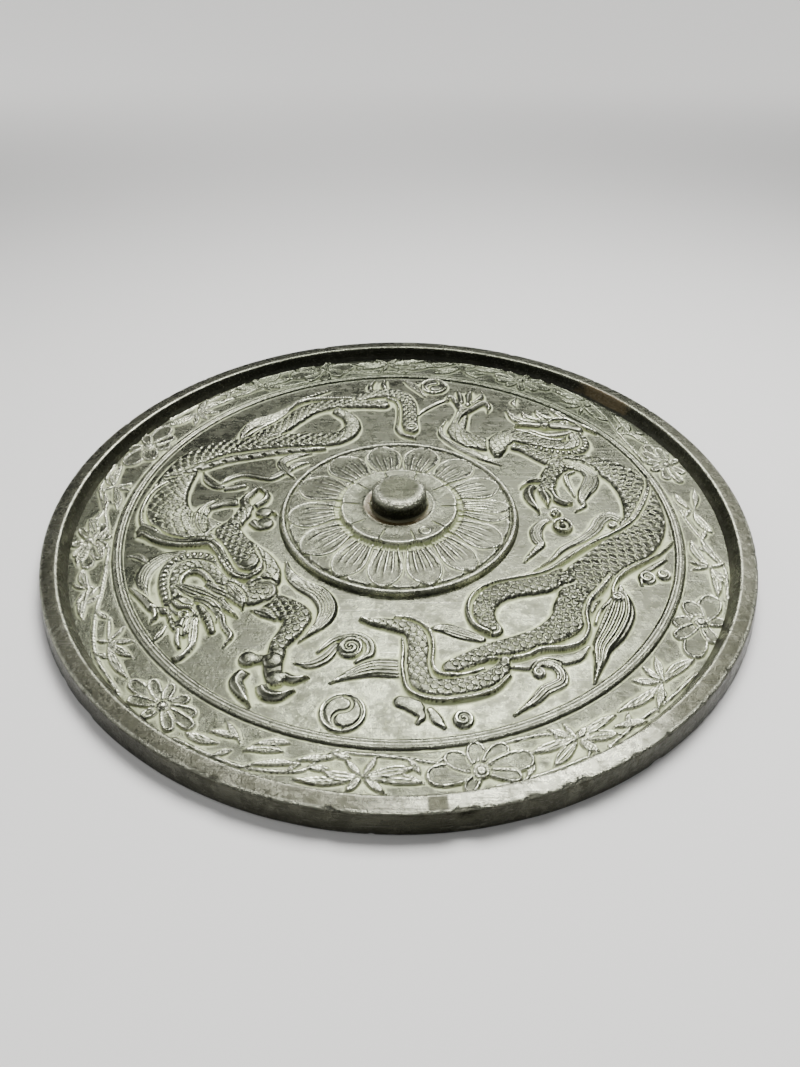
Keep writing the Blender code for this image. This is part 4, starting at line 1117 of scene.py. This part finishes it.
def lotus_height(radius, angle):
    """Height of the whole boss, in mm."""
    bearing = np.degrees(angle)
    base = 4.35 + 0.75 * smooth((44 - radius) / 18)
    across = petal_share(bearing, PETAL_GAPS)
    middle = np.array(PETAL_GAPS[:-1]) + 0.5 * np.diff(PETAL_GAPS)
    behind = petal_share(bearing, tuple(middle) + (middle[0] + 360,))
    cover, front = petal_row(radius, across, *FRONT_PETALS)
    back = petal_row(radius, behind, *BACK_PETALS)[1]
    petals = base + np.where(cover > 0, cover * 0.95 * front + (1 - cover) * 0.45 * back,
                             0.45 * back)
    along_lobe = petal_share(bearing, LOBE_GAPS)
    edge = 24.9 - 0.9 * np.abs(along_lobe) ** 4
    seat = smooth((edge - radius) / 1.1)
    dish = SEAT_HEIGHT + 0.25 - 0.35 * np.exp(-((radius - 18.5) / 3.2) ** 2)
    dish -= 0.55 * smooth((np.abs(along_lobe) - 0.90) / 0.10) * smooth((radius - 15.5) / 3)
    dish += 0.25 * np.exp(-((radius - 14.4) / 0.6) ** 2)
    jewel = np.hypot(radius * np.cos(angle) - JEWEL[1] * math.cos(math.radians(JEWEL[0])),
                     radius * np.sin(angle) - JEWEL[1] * math.sin(math.radians(JEWEL[0])))
    dish += 0.5 * np.exp(-((jewel - 2.1) / 0.45) ** 2) + 0.25 * smooth((1.6 - jewel) / 0.8)
    boss = petals * (1 - seat) + dish * seat
    gutter = 1.35 * smooth((27.3 - radius) / 1.2) * (1 - seat)
    boss -= 0.5 * gutter
    boss -= 0.7 * np.exp(-((radius - 46.2) / 0.5) ** 2)
    cord = smooth((radius - CORD_LINE[0]) / 0.7)
    round_top = CORD_TOP - 0.5 * ((radius - CORD_LINE[1]) / 1.2) ** 2
    boss = boss * (1 - cord) + round_top * cord
    outer_slope = (CORD_SHOULDER - FIELD_GROUND) * smooth(CORD_LINE[2] - radius)
    return np.where(radius > CORD_LINE[2] - 1, FIELD_GROUND + outer_slope, boss)


def lotus_relief(x, y):
    """Height over the ring's ground, so the lotus is carved like the other rings."""
    radius = np.hypot(x, y)
    return lotus_height(radius, np.arctan2(y, x)) - turned_ground(radius)


def knob_dirt(radius, angle):
    """Brown-green dirt round the knob's foot, thickest on its left."""
    return np.exp(-((radius - 12.6) / 1.7) ** 2) * (0.6 + 0.4 * np.cos(angle - DIRTY_SIDE))


lotus_finish = bronze_finish("lotus_bronze", Dusting=0.9, Wear=1.0, Scratches=0.6)
carved_ring("lotus_boss", np.linspace(FIELD_INNER, KNOB_ROOT, LOTUS_ROWS + 1), LOTUS_COLUMNS,
            lotus_relief, passes=3, depth=0.24, sectors=1, finish=lotus_finish,
            stain_of=knob_dirt)


# The knob: a thick drum with a soft shoulder, cast with the mirror and pierced from side to
# side for the silk cord it hung by.  Handling has polished its top.
KNOB_RADIUS = 11.5
KNOB_TOP = 16.05
SHOULDER_START = 7.4
SHOULDER_DROP = 3.7
KNOB_STEPS = 96
HOLE_RADIUS = 3.1
HOLE_HEIGHT = 10.9

knob_profile = [(0.0, KNOB_TOP), (3.0, KNOB_TOP - 0.01), (6.0, KNOB_TOP - 0.05)]
for k in range(9):
    t = 0.5 * math.pi * (1 - k / 8)
    knob_profile.append((SHOULDER_START + (KNOB_RADIUS - SHOULDER_START) * math.cos(t),
                         KNOB_TOP - SHOULDER_DROP * (1 - math.sin(t)) - 0.06))
knob_profile += [(KNOB_RADIUS, 11.2), (KNOB_RADIUS - 0.05, 10.0), (KNOB_RADIUS - 0.1, 9.0),
                 (KNOB_RADIUS + 0.05, 8.2), (KNOB_RADIUS + 0.45, 7.75),
                 (KNOB_RADIUS + 1.0, 7.55), (KNOB_RADIUS + 0.9, 7.0), (KNOB_RADIUS - 1.0, 6.6),
                 (0.0, 6.6)]
knob_turn, knob_radius, knob_height = turned(knob_profile, KNOB_STEPS)
knob_recess = smooth((9.0 - knob_height) / 1.5)
knob_worn = np.exp(-((knob_radius - 9.8) / 1.2) ** 2) * (knob_height > 13.5)
knob = cast_piece("knob", knob_radius, knob_height, knob_turn, None,
                  {"recess": knob_recess, "wear_and_highlight": knob_worn}, True)
bpy.ops.object.select_all(action="DESELECT")
bpy.ops.mesh.primitive_cylinder_add(vertices=40, radius=HOLE_RADIUS * MM, depth=40 * MM,
                                    location=(0, 0, HOLE_HEIGHT * MM),
                                    rotation=(0, math.pi / 2, 0))
drill = bpy.context.object
bore = knob.modifiers.new("cord_hole", "BOOLEAN")
bore.operation = "DIFFERENCE"
bore.solver = "EXACT"
bore.object = drill
bpy.ops.object.select_all(action="DESELECT")
knob.select_set(True)
bpy.context.view_layer.objects.active = knob
bpy.ops.object.modifier_apply(modifier="cord_hole")
bpy.data.objects.remove(drill, do_unlink=True)
bpy.ops.object.shade_smooth_by_angle(angle=SMOOTH_ANGLE)
knob.data.materials.append(bronze_finish(
    "handled_knob_bronze", Dusting=0.8, Wear=0.8, Scratches=1.0, bump=0.0011,
    Metal=(0.058, 0.062, 0.038, 1), Patina=(0.018, 0.020, 0.010, 1), Dust=(0.13, 0.12, 0.05, 1)))


# The stage: a plain pale floor, soft studio light from the far side as in the photo, and
# the camera at the photo's angle.
FLOOR_SIZE = 6.0
# The camera's place in metres and its tilt and roll in radians, fitted to the photo's rim
EYE_PLACE = (0.000434, -0.258454, 0.213628)
EYE_PITCH = 0.7098
EYE_ROLL = 0.0044
LENS = 27.10

bpy.ops.object.select_all(action="DESELECT")
bpy.ops.mesh.primitive_plane_add(size=FLOOR_SIZE, location=(0, 0, 0))
floor = bpy.context.object
floor.name = "floor"
paper = bpy.data.materials.new("pale_floor")
paper.use_nodes = True
paper.node_tree.nodes["Principled BSDF"].inputs["Base Color"].default_value = (0.72, 0.71, 0.69, 1)
paper.node_tree.nodes["Principled BSDF"].inputs["Roughness"].default_value = 0.9
floor.data.materials.append(paper)


def soft_light(name, place, aim, size, power, spread=180):
    """A large soft panel light aimed at a point, its beam spread so many degrees."""
    data = bpy.data.lights.new(name, "AREA")
    data.shape = "RECTANGLE"
    data.size, data.size_y = size
    data.energy = power
    data.spread = math.radians(spread)
    lamp = bpy.data.objects.new(name, data)
    lamp.location = place
    lamp.rotation_euler = (Vector(aim) - Vector(place)).to_track_quat("-Z", "Y").to_euler()
    bpy.context.scene.collection.objects.link(lamp)


soft_light("far_panel", place=(0.20, 0.64, 1.02), aim=(0.08, -0.12, 0), size=(0.8, 0.5),
           power=5.9, spread=60)
soft_light("left_panel", place=(-0.9, 0.15, 0.6), aim=(0, 0, 0), size=(0.6, 0.8), power=3)
soft_light("near_fill", place=(0.3, -1.1, 1.2), aim=(0, 0, 0), size=(1.2, 1.2), power=3)
# Lights only the floor behind the mirror, so that it stays evenly pale
soft_light("floor_wash", place=(0, 1.25, 0.9), aim=(0, 1.25, 0), size=(3.0, 1.4), power=16,
           spread=40)

sky = bpy.data.worlds.new("studio")
sky.use_nodes = True
sky.node_tree.nodes["Background"].inputs["Color"].default_value = (0.80, 0.82, 0.84, 1)
sky.node_tree.nodes["Background"].inputs["Strength"].default_value = 0.22
bpy.context.scene.world = sky

ahead = Vector((0, math.cos(EYE_PITCH), -math.sin(EYE_PITCH)))
across = Vector((1, 0, 0))
upward = across.cross(ahead)
tilted = across * math.cos(EYE_ROLL) + upward * math.sin(EYE_ROLL)
upright = upward * math.cos(EYE_ROLL) - across * math.sin(EYE_ROLL)
camera_data = bpy.data.cameras.new("photo_view")
camera_data.sensor_width = 36.0
camera_data.lens = LENS
camera = bpy.data.objects.new("photo_view", camera_data)
camera.matrix_world = Matrix((tilted, upright, -ahead)).transposed().to_4x4()
camera.location = EYE_PLACE
bpy.context.scene.collection.objects.link(camera)
bpy.context.scene.camera = camera
